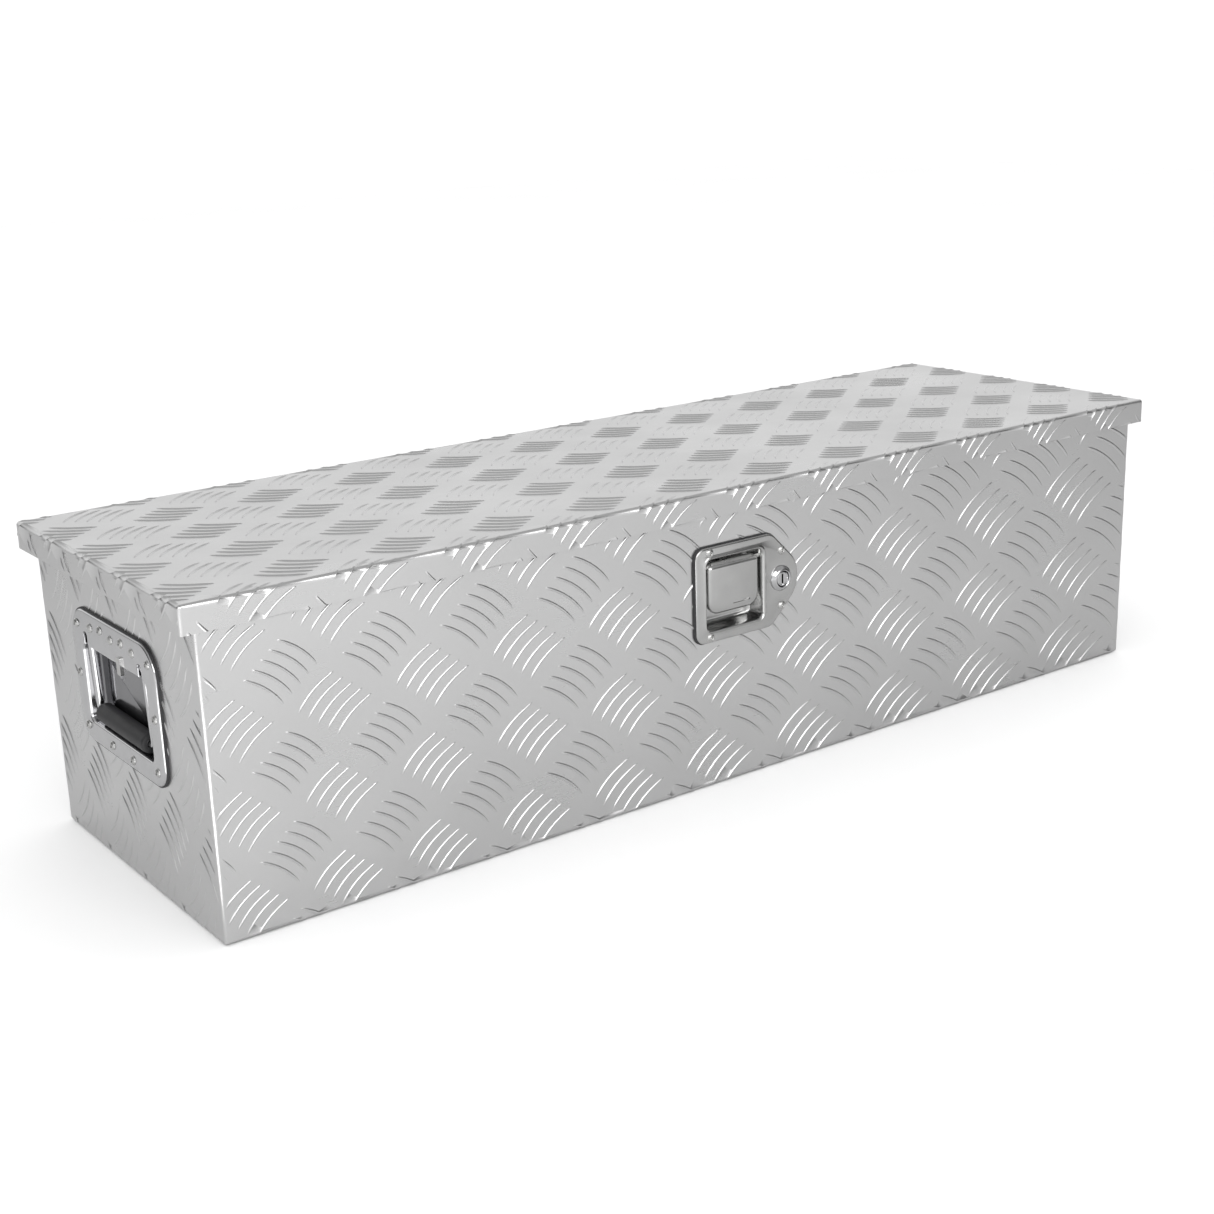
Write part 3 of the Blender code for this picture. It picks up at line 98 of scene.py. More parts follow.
# Front wall: its pattern grows along the length
FRONT_ORIGIN = (-0.464, 0.0222)
FRONT_TILE = (0.0765, 0.0675)
FRONT_COLUMNS, FRONT_ROWS = 11, 4
COLUMN_GROWTH, ROW_GROWTH = 1.06, 1.0165
FRONT_STRETCH = (0.92, 0.97)
STRETCH_GROWTH = (1.065, 1.04)
FRONT_FOOT = -0.030

# Latch: offsets are taken across and up from its centre
LATCH_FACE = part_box("latch_plate")[0].y
LATCH_X, LATCH_Z = -0.002, 0.168
LATCH_WIDTH, LATCH_HEIGHT, SHOULDER, NOSE_RADIUS = 0.1106, 0.0813, 0.0813, 0.0271
DISH_CENTRE = (-0.0143, -0.00055)
DISH_WIDTH, DISH_HEIGHT, DISH_DEPTH = 0.0616, 0.0620, 0.016
DISH_CLEARANCE = 0.0016
HOOK_SLOT_HALF, HOOK_SLOT_LOW, HOOK_SLOT_HIGH = 0.0065, 0.010, 0.0255
LOCK_CENTRE = (0.0357, 0.0)
LOCK_HOLE = 0.0093
LOCK_PROUD = -0.0035
LATCH_GAUGE, PADDLE_GAUGE = 0.001, 0.0012
PADDLE_FACE, PADDLE_TOP, PADDLE_CLEARANCE = 0.0015, 0.0240, 0.0012
PIVOT_DEPTH, PIVOT_HEIGHT = 0.0065, 0.0224
LATCH_RIVETS = [(-0.0408, 0.0358), (-0.0408, -0.036), (0.0369, 0.0241), (0.0369, -0.0241)]

# Handles: offsets are taken across and up from the centre of the plate
HANDLE_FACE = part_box("handle_plate_right")[1].x
HANDLE_Z = 0.150
HANDLE_WIDTH, HANDLE_HEIGHT = 0.157, 0.108
HANDLE_RADII = (0.018, 0.018, 0.025, 0.025)
HANDLE_GAUGE = 0.0012
WELL_HALF_WIDTH, WELL_LOW, WELL_HIGH, WELL_DEPTH = 0.060, -0.037, 0.026, 0.013
HOLE_HALF_WIDTH, HOLE_LOW, HOLE_HIGH = 0.0625, -0.0395, 0.0376
RIVET_PAIRS = ((0.067, 0.0405), (0.0705, 0.0), (0.0658, -0.042), (0.0197, -0.0463))
HANDLE_RIVETS = [(side * u, v) for u, v in RIVET_PAIRS for side in (-1, 1)]
HANDLE_STUDS = [(-0.0398, 0.0425), (0.0, 0.0425), (0.0398, 0.0425), (-0.0199, 0.0450), (0.0199, 0.0450)]
SPRING_TAB = ((0.0118, 0.0195), (0.0186, 0.0335))
BAIL_HALF, BAIL_REACH, BAIL_RADIUS = 0.051, 0.0604, 0.003
BAIL_AXIS, BAIL_DEPTH, BAIL_STUB = 0.033, 0.0045, 0.041
BAIL_TILT = math.atan2(0.0015, BAIL_REACH)
GRIP_HALF = 0.0445

# Studio
FLOOR_Z, FLOOR_HALF = -0.0005, 6.0
OVERHEAD_SHADES = ((0.0, 0.86), (0.33, 0.84), (0.50, 0.60), (0.72, 0.42), (1.0, 0.38))
SIDEWAYS_SHADES = ((0.72, 1.0), (0.85, 0.20), (1.0, 0.05))
SIDEWAYS = (0.894, -0.447, 0.0)
SURROUND_WHITE = 1.15
KEY_PLACE, KEY_TARGET = (-0.8, -2.3, 1.5), (0.1, 0.0, 0.1)
STRIP_X, STRIP_Y, STRIP_Z = -0.76, -0.36, 0.003
LENS, SENSOR = 54.06, 36.0
CAMERA_PLACE = (-0.94822, -1.24788, 0.59906)
CAMERA_DEGREES = (72.867, 1.824, -36.682)


# ---------------- shader nodes

def connect(tree, socket, value):
    """Give an input a value, or link it to another node's output."""
    if isinstance(value, bpy.types.NodeSocket):
        tree.links.new(value, socket)
    else:
        socket.default_value = value


def add_node(tree, kind, inputs, **settings):
    """New shader node with its settings and inputs; an input is named, or numbered where names repeat."""
    node = tree.nodes.new("ShaderNode" + kind)
    for name, value in settings.items():
        setattr(node, name, value)
    for name, value in inputs.items():
        connect(tree, node.inputs[name], value)
    return node


def add_ramp(tree, value, stops):
    """Colours at the given places of a value; returns the colour."""
    ramp = add_node(tree, "ValToRGB", {"Fac": value})
    elements = ramp.color_ramp.elements
    while len(elements) < len(stops):
        elements.new(0.5)
    for element, (position, colour) in zip(elements, stops):
        element.position = position
        element.color = (*colour, 1.0)
    return ramp.outputs["Color"]


def grey(shade):
    """Colour without a hue."""
    return (shade, shade, shade)


def scaled(colour, factor):
    """Colour with its brightness multiplied by a factor."""
    return tuple(channel * factor for channel in colour)


class Recipe:
    """Small helper that adds and links the nodes of one material."""

    def __init__(self, name, colour, metallic, roughness):
        self.material = bpy.data.materials.new(name)
        self.material.use_nodes = True
        self.tree = self.material.node_tree
        self.shader = self.tree.nodes["Principled BSDF"]
        self.coordinates = add_node(self.tree, "TexCoord", {}).outputs["Object"]
        self.bump = None
        self.set("Base Color", (*colour, 1.0))
        self.set("Metallic", metallic)
        self.set("Roughness", roughness)

    def set(self, name, value):
        """Set an input of the shader, or drive it by a pattern."""
        connect(self.tree, self.shader.inputs[name], value)

    def pattern(self, kind, output, stretch, **inputs):
        """Pattern on the object's own coordinates, which are scaled by a factor on each axis."""
        mapping = add_node(self.tree, "Mapping", {"Vector": self.coordinates, "Scale": stretch})
        return add_node(self.tree, kind, {"Vector": mapping.outputs["Vector"], **inputs}).outputs[output]

    def noise(self, scale, detail=3.0, stretch=(1.0, 1.0, 1.0)):
        """Cloudy pattern."""
        return self.pattern("TexNoise", "Fac", stretch, Scale=scale, Detail=detail)

    def spots(self, scale):
        """Distance to the nearest of many scattered points."""
        return self.pattern("TexVoronoi", "Distance", (1.0, 1.0, 1.0), Scale=scale)

    def spread(self, value, low, high, start=0.3, end=0.7):
        """Map a pattern to a range of numbers."""
        inputs = {"Value": value, "From Min": start, "From Max": end, "To Min": low, "To Max": high}
        return add_node(self.tree, "MapRange", inputs).outputs["Result"]

    def total(self, first, second):
        """Sum of two patterns."""
        return add_node(self.tree, "Math", {0: first, 1: second}).outputs["Value"]

    def set_colour(self, value, dark, light):
        """Blend the base colour between two shades by a pattern."""
        self.set("Base Color", add_ramp(self.tree, value, ((0.3, dark), (0.7, light))))

    def dim_in_reflections(self, near, far):
        """Show reflected rays only a share of the base colour, falling along the floor's diagonal."""
        colour = self.shader.inputs["Base Color"].links[0].from_socket
        diagonal = add_node(self.tree, "VectorMath", {0: self.coordinates, 1: (0.5, 0.5, 0.0)},
                            operation="DOT_PRODUCT")
        share = self.spread(diagonal.outputs["Value"], near, far, -1.0, 1.0)
        glossy = add_node(self.tree, "LightPath", {}).outputs["Is Glossy Ray"]
        level = add_node(self.tree, "Mix", {"Factor": glossy, "A": 1.0, "B": share}).outputs["Result"]
        scaled = add_node(self.tree, "VectorMath", {"Vector": colour, "Scale": level}, operation="SCALE")
        self.set("Base Color", scaled.outputs["Vector"])

    def add_bump(self, height, distance, strength=1.0):
        """Lay one more layer of relief, of the given height in metres, over the others."""
        inputs = {"Distance": distance, "Strength": strength, "Height": height}
        if self.bump:
            inputs["Normal"] = self.bump
        self.bump = add_node(self.tree, "Bump", inputs).outputs["Normal"]
        self.set("Normal", self.bump)


# ---------------- materials

def sheet_aluminium(name, colour, smooth, rough):
    """Rolled aluminium: blotchy gloss with faint rolling lines, over slow waves."""
    recipe = Recipe(name, colour, 1.0, smooth)
    blotches = recipe.noise(14.0, 4.0)
    grain = recipe.noise(900.0, 2.0, (0.05, 1.0, 1.0))
    gloss = recipe.total(recipe.spread(blotches, smooth, rough), recipe.spread(grain, 0.0, 0.05))
    recipe.set("Roughness", gloss)
    recipe.set_colour(recipe.noise(5.0, 3.0), scaled(colour, 0.93), colour)
    recipe.add_bump(recipe.noise(7.0, 1.0), 0.004, 0.10)
    recipe.add_bump(recipe.noise(120.0, 0.0), 0.00003, 0.25)
    return recipe.material


def brushed_steel(name, colour, smooth, rough, grain_axes):
    """Satin steel with fine brush lines along one axis."""
    recipe = Recipe(name, colour, 1.0, smooth)
    lines = recipe.noise(1600.0, 2.0, grain_axes)
    clouds = recipe.noise(60.0, 3.0)
    gloss = recipe.total(recipe.spread(lines, smooth, rough), recipe.spread(clouds, 0.0, 0.06))
    recipe.set("Roughness", gloss)
    recipe.set_colour(clouds, scaled(colour, 0.9), colour)
    recipe.add_bump(lines, 0.000003, 0.4)
    recipe.add_bump(recipe.noise(35.0, 1.0), 0.0004, 0.08)
    return recipe.material


def plated_metal(name, colour, smooth, rough, waves):
    """Bright plating over pressed steel: slight waves, smears in the gloss and tiny pits."""
    recipe = Recipe(name, colour, 1.0, smooth)
    recipe.set("Roughness", recipe.spread(recipe.noise(45.0, 5.0), smooth, rough))
    recipe.set_colour(recipe.noise(90.0, 3.0), scaled(colour, 0.94), colour)
    recipe.add_bump(recipe.noise(30.0, 2.0), 0.0006, waves)
    recipe.add_bump(recipe.spots(1400.0), 0.000006, 0.4)
    return recipe.material


def soft_black(name, colour, smooth, rough, grain):
    """Black rubber or paint with a fine grain and dusty patches."""
    recipe = Recipe(name, colour, 0.0, smooth)
    patches = recipe.noise(70.0, 4.0)
    recipe.set("Roughness", recipe.spread(patches, smooth, rough))
    recipe.set_colour(patches, colour, scaled(colour, 1.9))
    recipe.add_bump(recipe.noise(1500.0, 3.0), 0.00004, grain)
    return recipe.material


FINISHES = (
    ("tread_aluminium", sheet_aluminium, grey(0.80), 0.25, 0.33),
    ("plain_aluminium", sheet_aluminium, grey(0.72), 0.34, 0.46),
    ("stainless", brushed_steel, (0.64, 0.64, 0.635), 0.14, 0.21, (0.02, 1.0, 1.0)),
    ("chrome", plated_metal, (0.70, 0.70, 0.71), 0.05, 0.14, 0.25),
    # darker copy of the chrome: painted shade for the handle's deep well
    ("dark_chrome", plated_metal, (0.30, 0.30, 0.31), 0.08, 0.18, 0.25),
    ("zinc", plated_metal, (0.66, 0.66, 0.65), 0.20, 0.38, 0.15),
    ("black_rubber", soft_black, (0.014, 0.014, 0.015), 0.42, 0.60, 0.5),
    ("black_paint", soft_black, (0.010, 0.010, 0.011), 0.18, 0.30, 0.15),
)
MATERIALS = {name: make(name, *look) for name, make, *look in FINISHES}


# ---------------- outlines

def circle(radius, steps, centre=(0.0, 0.0)):
    """Points round a circle, anticlockwise."""
    angles = [math.tau * step / steps for step in range(steps)]
    return [(centre[0] + radius * math.cos(a), centre[1] + radius * math.sin(a)) for a in angles]


def fillet(before, corner, after, radius, steps):
    """Arc of the given radius that rounds one corner of a path."""
    corner = Vector(corner)
    towards_before = (Vector(before) - corner).normalized()
    towards_after = (Vector(after) - corner).normalized()
    half_angle = towards_before.angle(towards_after) / 2
    centre = corner + (towards_before + towards_after).normalized() * (radius / math.sin(half_angle))
    start = corner + towards_before * (radius / math.tan(half_angle)) - centre
    end = corner + towards_after * (radius / math.tan(half_angle)) - centre
    sweep = start.angle(end)
    return [tuple(centre + (start * math.sin((1 - step / steps) * sweep)
                            + end * math.sin(step / steps * sweep)) / math.sin(sweep))
            for step in range(steps + 1)]


def rounded_polygon(corners, radii, steps=8):
    """Closed outline with each corner rounded by its own radius."""
    points = []
    for index, corner in enumerate(corners):
        following = corners[(index + 1) % len(corners)]
        points += fillet(corners[index - 1], corner, following, radii[index], steps)
    return points


def rectangle(low, high):
    """Corners of a rectangle, anticlockwise from its lower left corner."""
    return [(low[0], low[1]), (high[0], low[1]), (high[0], high[1]), (low[0], high[1])]


def rounded_rectangle(low, high, radius, steps=8):
    """Rectangle with rounded corners; the radius may be one for each corner."""
    radii = radius if isinstance(radius, tuple) else (radius,) * 4
    return rounded_polygon(rectangle(low, high), radii, steps)


def inset(outline, distance):
    """Anticlockwise outline with every point moved inwards by a distance, less far at very sharp corners."""
    moved = []
    sharpest = 0.3
    for index, point in enumerate(outline):
        before, after = Vector(outline[index - 1]), Vector(outline[(index + 1) % len(outline)])
        first = (Vector(point) - before).normalized()
        second = (after - Vector(point)).normalized()
        inward = (first + second).normalized().orthogonal()
        reach = distance / max(inward.dot(first.orthogonal()), sharpest)
        moved.append(tuple(Vector(point) + inward * reach))
    return moved


# ---------------- tread sheets

def bar_groups(bounds, tile, origin, leans, size=1.0):
    """Groups of bars as (centre, stretch, lean, bow): one lean on a grid, the other half a tile away."""
    groups = []
    for shift, (lean, bow) in enumerate(leans):
        start = [origin[axis] + shift * tile[axis] / 2 for axis in range(2)]
        spans = []
        for axis in range(2):
            first = math.ceil((bounds[0][axis] - BAR_REACH - start[axis]) / tile[axis])
            last = math.floor((bounds[1][axis] + BAR_REACH - start[axis]) / tile[axis])
            spans.append([start[axis] + number * tile[axis] for number in range(first, last + 1)])
        groups += [((u, v), (size, size), lean, bow) for u in spans[0] for v in spans[1]]
    return groups


def front_groups():
    """Groups of the front wall, which grow from column to column as they do in the photograph."""
    groups = []
    for column in range(-1, FRONT_COLUMNS):
        for row in range(-1, FRONT_ROWS):
            for shift, lean, bow in ((0.0, LEAN, 1), (0.5, -LEAN, 1)):
                number = column + shift
                u = FRONT_ORIGIN[0] + FRONT_TILE[0] * (COLUMN_GROWTH ** number - 1) / (COLUMN_GROWTH - 1)
                v = FRONT_ORIGIN[1] + FRONT_TILE[1] * (row + shift) * ROW_GROWTH ** number
                stretch = [first * growth ** number for first, growth in zip(FRONT_STRETCH, STRETCH_GROWTH)]
                groups.append(((u, v), stretch, lean, bow))
    return groups


def bars_of(group):
    """Centre, direction and bow of each bar round the middle of its group, before the group is stretched."""
    _, _, lean, bow = group
    along = np.array((math.cos(lean), math.sin(lean)))
    stacked = np.array((math.cos(lean), -math.sin(lean)))
    middle = (BARS_IN_GROUP - 1) / 2
    return [((number - middle) * BAR_STEP * stacked, along, bow * BAR_BOW) for number in range(BARS_IN_GROUP)]


def bar_point(group, bar, t, side):
    """Point of the unfolded sheet at a share t of a bar's half length and a distance to its side."""
    centre, along, bow = bar
    across = np.array((-along[1], along[0]))
    offset = centre + along * BAR_HALF_LENGTH * t + across * (side + bow * (0.5 - t * t))
    return np.array(group[0]) + offset * np.array(group[1])


def bar_ring(group, bar, level):
    """Ring of points on a bar where its relief has the given level: 1 at the foot, 0 on the crest."""
    reach = level ** (1 / BAR_TAPER)
    points = []
    for step in range(2 * BAR_STEPS):
        t = reach * math.cos(math.pi * step / BAR_STEPS)
        half_width = BAR_HALF_WIDTH * math.sqrt(max(level - abs(t) ** BAR_TAPER, 0.0))
        points.append(bar_point(group, bar, t, math.copysign(half_width, BAR_STEPS - step)))
    return points


def bar_heights(flat, groups):
    """Height of the relief at each point of the unfolded sheet."""
    rise = np.zeros(len(flat))
    faintest = 1e-3 * BAR_RISE
    for group in groups:
        local = (flat - np.array(group[0])) / np.array(group[1])
        near = np.nonzero(np.abs(local).max(axis=1) < BAR_REACH)[0]
        for centre, along, bow in bars_of(group):
            offset = local[near] - centre
            t = offset @ along / BAR_HALF_LENGTH
            side = offset @ np.array((-along[1], along[0])) - bow * (0.5 - t * t)
            level = (side / BAR_HALF_WIDTH) ** 2 + np.abs(t) ** BAR_TAPER
            rise[near] = np.maximum(rise[near], BAR_RISE * (1.0 - level))
    rise[rise < faintest] = 0.0
    return rise


def inside(points, loop):
    """Which points lie inside a closed outline."""
    hit = np.zeros(len(points), bool)
    for (ax, ay), (bx, by) in zip(loop, loop[1:] + loop[:1]):
        if ay == by:
            continue
        crosses = (ay > points[:, 1]) != (by > points[:, 1])
        hit ^= crosses & (points[:, 0] < ax + (points[:, 1] - ay) * (bx - ax) / (by - ay))
    return hit


def triangulate(points, edges, outline, openings):
    """Triangles of a flat sheet with openings, and where each given point ended up."""
    merge = 1e-7
    made = delaunay_2d_cdt([Vector(point) for point in points], edges, [], 0, merge, True)
    flat = np.array([tuple(point) for point in made[0]])
    faces = np.array(made[2])
    middles = flat[faces].mean(axis=1)
    keep = inside(middles, outline)
    for opening in openings:
        keep &= ~inside(middles, opening)
    used, faces = np.unique(faces[keep], return_inverse=True)
    renumbered = {int(old): new for new, old in enumerate(used)}
    place_of = {given: renumbered[index] for index, origins in enumerate(made[3])
                for given in origins if index in renumbered}
    return flat[used], faces.reshape(-1, 3), place_of


def add_path(points, edges, path, closed):
    """Add a line of points and the edges between them."""
    first = len(points)
    points += [tuple(point) for point in path]
    last = len(points)
    edges += [(index, index + 1) for index in range(first, last - 1)]
    if closed:
        edges.append((last - 1, first))


def rim_of(faces):
    """Sides that only one triangle has, each in that triangle's direction."""
    sides = np.concatenate([faces[:, [0, 1]], faces[:, [1, 2]], faces[:, [2, 0]]])
    _, where, count = np.unique(np.sort(sides, axis=1), axis=0, return_inverse=True, return_counts=True)
    return sides[count[where.reshape(-1)] == 1]


def outer_side(outline, openings, folds, groups):
    """Points and triangles of a sheet's outer side, with points along every bar, opening and fold."""
    points, edges = [], []
    for loop in (outline, *openings):
        add_path(points, edges, loop, True)
    for fold in folds:
        add_path(points, edges, fold, False)
    for group in groups:
        for bar in bars_of(group):
            for level in BAR_LEVELS:
                add_path(points, edges, bar_ring(group, bar, level), True)
            add_path(points, edges, [bar_point(group, bar, t, 0.0) for t in BAR_CREST], False)
    flat, outer, _ = triangulate(points, edges, outline, openings)
    return flat, outer


def make_sheet(name, outline, openings, folds, groups, place, half_length):
    """Closed folded sheet with raised bars outside and a plain inner side; bars sink away at its two ends."""
    flat, outer = outer_side(outline, openings, folds, groups)
    rise = bar_heights(flat, groups) * np.clip((half_length - np.abs(flat[:, 0])) / SEAM_FADE, 0.0, 1.0)

    rim = rim_of(outer)
    rim_points = np.unique(rim)
    number = {int(point): index for index, point in enumerate(rim_points)}
    points = [tuple(flat[index]) for index in rim_points]
    edges = [(number[int(a)], number[int(b)]) for a, b in rim]
    for fold in folds:
        add_path(points, edges, fold, False)
    back, inner, place_of = triangulate(points, edges, outline, openings)

    vertices = np.concatenate([place(flat, rise), place(back, np.full(len(back), -PLATE))])
    start = len(flat)
    behind = {int(point): start + place_of[number[int(point)]] for point in rim_points}
    walls = [(int(b), int(a), behind[int(a)], behind[int(b)]) for a, b in rim]
    faces = outer.tolist() + (inner[:, ::-1] + start).tolist() + walls
    raised = rise[outer].max(axis=1) > 0
    kinds = np.concatenate([raised.astype(int), np.full(len(inner), 2), np.full(len(walls), 3)])
    mesh = bpy.data.meshes.new(name)
    mesh.from_pydata(vertices.tolist(), [], faces)
    mesh.shade_smooth()
    mark_sharp_edges(mesh, kinds)
    return add_object(name, mesh, "tread_aluminium")


def mark_sharp_edges(mesh, kinds):
    """Keep the shading of flat sheet, bars, back and cut edges apart."""
    corner_edges = np.zeros(len(mesh.loops), int)
    mesh.loops.foreach_get("edge_index", corner_edges)
    sizes = np.zeros(len(mesh.polygons), int)
    mesh.polygons.foreach_get("loop_total", sizes)
    corner_kinds = np.repeat(kinds, sizes)
    low = np.full(len(mesh.edges), kinds.max())
    high = np.full(len(mesh.edges), -1)
    np.minimum.at(low, corner_edges, corner_kinds)
    np.maximum.at(high, corner_edges, corner_kinds)
    sharp = mesh.attributes.new("sharp_edge", "BOOLEAN", "EDGE")
    sharp.data.foreach_set("value", low != high)


def folded(start, heading, outward, runs, radius):
    """Straight runs of a profile with a right-angle bend between each two, away from its outer side."""
    point, heading, outward = np.array(start), np.array(heading), np.array(outward)
    pieces, distance = [], 0.0
    for index, run in enumerate(runs):
        pieces.append((distance, distance + run, point, heading, outward, 0.0))
        distance += run
        point = point + heading * run
        if index < len(runs) - 1:
            centre = point - outward * radius
            pieces.append((distance, distance + radius * math.pi / 2, centre, heading, outward, radius))
            distance += radius * math.pi / 2
            point = centre + heading * radius
            heading, outward = -outward, heading
    return pieces


def follow(pieces, distance, rise):
    """Points along a folded profile, raised off its outer side; sheet and bars are thinner in the bends."""
    result = np.zeros((len(distance), 2))
    distance = np.clip(distance, pieces[0][0], pieces[-1][1])
    for start, end, origin, heading, outward, radius in pieces:
        here = (distance >= start) & (distance <= end)
        along = (distance[here] - start)[:, None]
        lift = np.broadcast_to(rise, distance.shape)[here][:, None]
        if radius:
            angle = along / radius
            lift = lift * (1.0 - BEND_THINNING * np.sin(2 * angle))
            result[here] = origin + (outward * np.cos(angle) + heading * np.sin(angle)) * (radius + lift)
        else:
            result[here] = origin + heading * along + outward * lift
    return result


def fold_lines(pieces):
    """Distances where a folded profile needs a line of points: through each bend and just outside it."""
    lines = []
    for start, end, _, _, _, radius in pieces:
        if radius:
            lines += [start - GUARD, end + GUARD]
            lines += [start + (end - start) * step / BEND_STEPS for step in range(BEND_STEPS + 1)]
    return lines


def length_of(pieces):
    """Developed length of a folded profile."""
    return pieces[-1][1]


# ---------------- body sheets

def body_profile():
    """Flange, front wall, floor, back wall and flange, as (y, z), outer side of the sheet."""
    wall = BODY_TOP - BODY_LOW - 2 * BEND
    flange = RIM_WIDTH - BEND
    runs = (flange, wall, 2 * (BODY_HALF_Y - BEND), wall, flange)
    return folded((RIM_WIDTH - BODY_HALF_Y, BODY_TOP), (-1.0, 0.0), (0.0, 1.0), runs, BEND)


def make_body_sheet():
    """Front wall, floor and back wall, one sheet with raised bars."""
    profile = body_profile()
    zero = profile[2][0] + BODY_TOP - BEND
    reach = BODY_HALF_X - BEND
    top, bottom = zero, zero - length_of(profile)

    def place(flat, rise):
        y_z = follow(profile, zero - flat[:, 1], rise)
        return np.column_stack([flat[:, 0], y_z])

    dish = dish_outline((LATCH_X + DISH_CENTRE[0], LATCH_Z + DISH_CENTRE[1]), DISH_CLEARANCE, 0.006, 4)
    lock = circle(LOCK_HOLE, 24, (LATCH_X + LOCK_CENTRE[0], LATCH_Z))
    bounds = ((-reach, bottom), (reach, top))
    folds = [[(-reach, zero - line), (reach, zero - line)] for line in fold_lines(profile)]
    groups = [group for group in front_groups() if group[0][1] > FRONT_FOOT]
    rest = bar_groups(bounds, TILE, BODY_ORIGIN, ((LEAN, 1), (-LEAN, 1)))
    groups += [group for group in rest if group[0][1] < FRONT_FOOT]
    return make_sheet("body_sheet", rectangle(*bounds), [dish, lock], folds, groups, place, reach)


def make_end_sheet(side_name, side):
    """End wall with a flange along its top, with the pattern turned a quarter turn."""
    rim = BODY_HALF_Y - BEND
    low = BODY_LOW + BEND
    wall = BODY_TOP - BEND - low
    profile = folded((BODY_HALF_X, low), (0.0, 1.0), (1.0, 0.0), (wall, RIM_WIDTH - BEND), BEND)
    top = low + length_of(profile)
    bend = low + wall

    def place(flat, rise):
        x_z = follow(profile, flat[:, 1] - low, rise)
        return np.column_stack([side * x_z[:, 0], side * flat[:, 0], x_z[:, 1]])

    outline = [(-rim, low), (rim, low), (rim, bend), (END_RIM_HALF, bend), (END_RIM_HALF, top),
               (-END_RIM_HALF, top), (-END_RIM_HALF, bend), (-rim, bend)]
    folds = [[(-END_RIM_HALF, low + line), (END_RIM_HALF, low + line)] for line in fold_lines(profile)[2:]]
    folds.append([(-rim, bend - GUARD), (rim, bend - GUARD)])
    leans = ((LEAN - math.pi / 2, 1), (math.pi / 2 - LEAN, -1))
    groups = bar_groups(((-rim, low), (rim, top)), TILE[::-1], END_ORIGIN, leans, END_SIZE)
    return make_sheet("end_sheet_" + side_name, outline, [well_hole(HANDLE_Z)], folds, groups, place, rim)


def make_lid_sheet():
    """Top and four lips of the lid, one cross-shaped sheet."""
    lip = LID_TOP - BEND - LIP_LOW
    flats = (LID_HALF_X - BEND, LID_HALF_Y - BEND)
    profiles = [folded((-flat - BEND, LIP_LOW), (0.0, 1.0), (-1.0, 0.0), (lip, 2 * flat, lip), BEND)
                for flat in flats]
    halves = [length_of(profile) / 2 for profile in profiles]

    def place(flat, rise):
        x_z = follow(profiles[0], flat[:, 0] + halves[0], rise)
        y_z = follow(profiles[1], flat[:, 1] + halves[1], rise)
        return np.column_stack([x_z[:, 0], y_z[:, 0], x_z[:, 1] + y_z[:, 1] - LID_TOP - rise])

    u, v = flats
    outline = [(-u, -halves[1]), (u, -halves[1]), (u, -v), (halves[0], -v), (halves[0], v), (u, v),
               (u, halves[1]), (-u, halves[1]), (-u, v), (-halves[0], v), (-halves[0], -v), (-u, -v)]
    folds = []
    for axis in range(2):
        for line in fold_lines(profiles[axis]):
            place_of_line = line - halves[axis]
            across = halves[1 - axis] if abs(place_of_line) < flats[axis] - GUARD / 2 else flats[1 - axis]
            ends = [(place_of_line, -across), (place_of_line, across)]
            folds.append(ends if axis == 0 else [(b, a) for a, b in ends])
    leans = ((-LEAN, -1), (LEAN, 1))
    groups = bar_groups(((-halves[0], -halves[1]), halves), LID_TILE, LID_ORIGIN, leans)
    return make_sheet("lid_sheet", outline, [], folds, groups, place, halves[0])


# ---------------- seams

def swell(along, around):
    """Height of a dressed weld above the sheets, with slow ripples along it; none at its two sides."""
    ripple = 0.6 + 0.25 * math.sin(170 * along) + 0.15 * math.sin(410 * along + 1.0)
    return WELD_RISE * ripple * math.sin(around * math.pi)


def add_band(shape, line, other):
    """Strip of faces between two lines of vertices."""
    for index in range(len(line) - 1):
        shape.faces.new((line[index], line[index + 1], other[index + 1], other[index]))


def add_seam(shape, rows):
    """Closed strip of weld round a corner; each row is (distance, centre, directions from side to side)."""
    skins = []
    for outer in (True, False):
        grid = []
        for distance, centre, directions in rows:
            line = []
            for index, direction in enumerate(directions):
                around = index / (len(directions) - 1)
                radius = BEND + swell(distance, around) if outer else BEND - PLATE
                line.append(shape.verts.new(Vector(centre) + radius * Vector(direction)))
            grid.append(line)
        for line, other in zip(grid, grid[1:]):
            add_band(shape, line, other)
        skins.append(grid)
    front, back = skins
    for row in (0, -1):
        add_band(shape, front[row], back[row])
    for column in (0, -1):
        add_band(shape, [line[column] for line in front], [line[column] for line in back])


def quarter(first, second, steps=6):
    """Directions turning from one unit vector to another."""
    angles = [math.pi / 2 * step / steps for step in range(steps + 1)]
    return [Vector(first) * math.cos(angle) + Vector(second) * math.sin(angle) for angle in angles]


def make_body_seams():
    """Rounded corner between the folded sheet and each end wall, down, along the floor and up again."""
    profile = body_profile()
    start, end = profile[2][0], profile[-2][0]
    stations = [start]
    for low, high, _, _, _, radius in profile[2:-2]:
        count = BEND_STEPS if radius else max(int((high - low) / WELD_STEP), 2)
        stations += [low + (high - low) * step / count for step in range(1, count + 1)]
    stations = [station for station in stations if start <= station <= end]
    base = follow(profile, np.array(stations), 0.0)
    raised = follow(profile, np.array(stations), 1.0)
    shape = bmesh.new()
    for side in (-1, 1):
        rows = []
        for station, point, tip in zip(stations, base, raised):
            normal = (tip - point) / np.linalg.norm(tip - point)
            centre = point - normal * BEND
            directions = quarter((side, 0.0, 0.0), (0.0, *normal))
            rows.append((station, (side * (BODY_HALF_X - BEND), *centre), directions))
        add_seam(shape, rows)
    return mesh_object("body_seams", shape, "tread_aluminium")


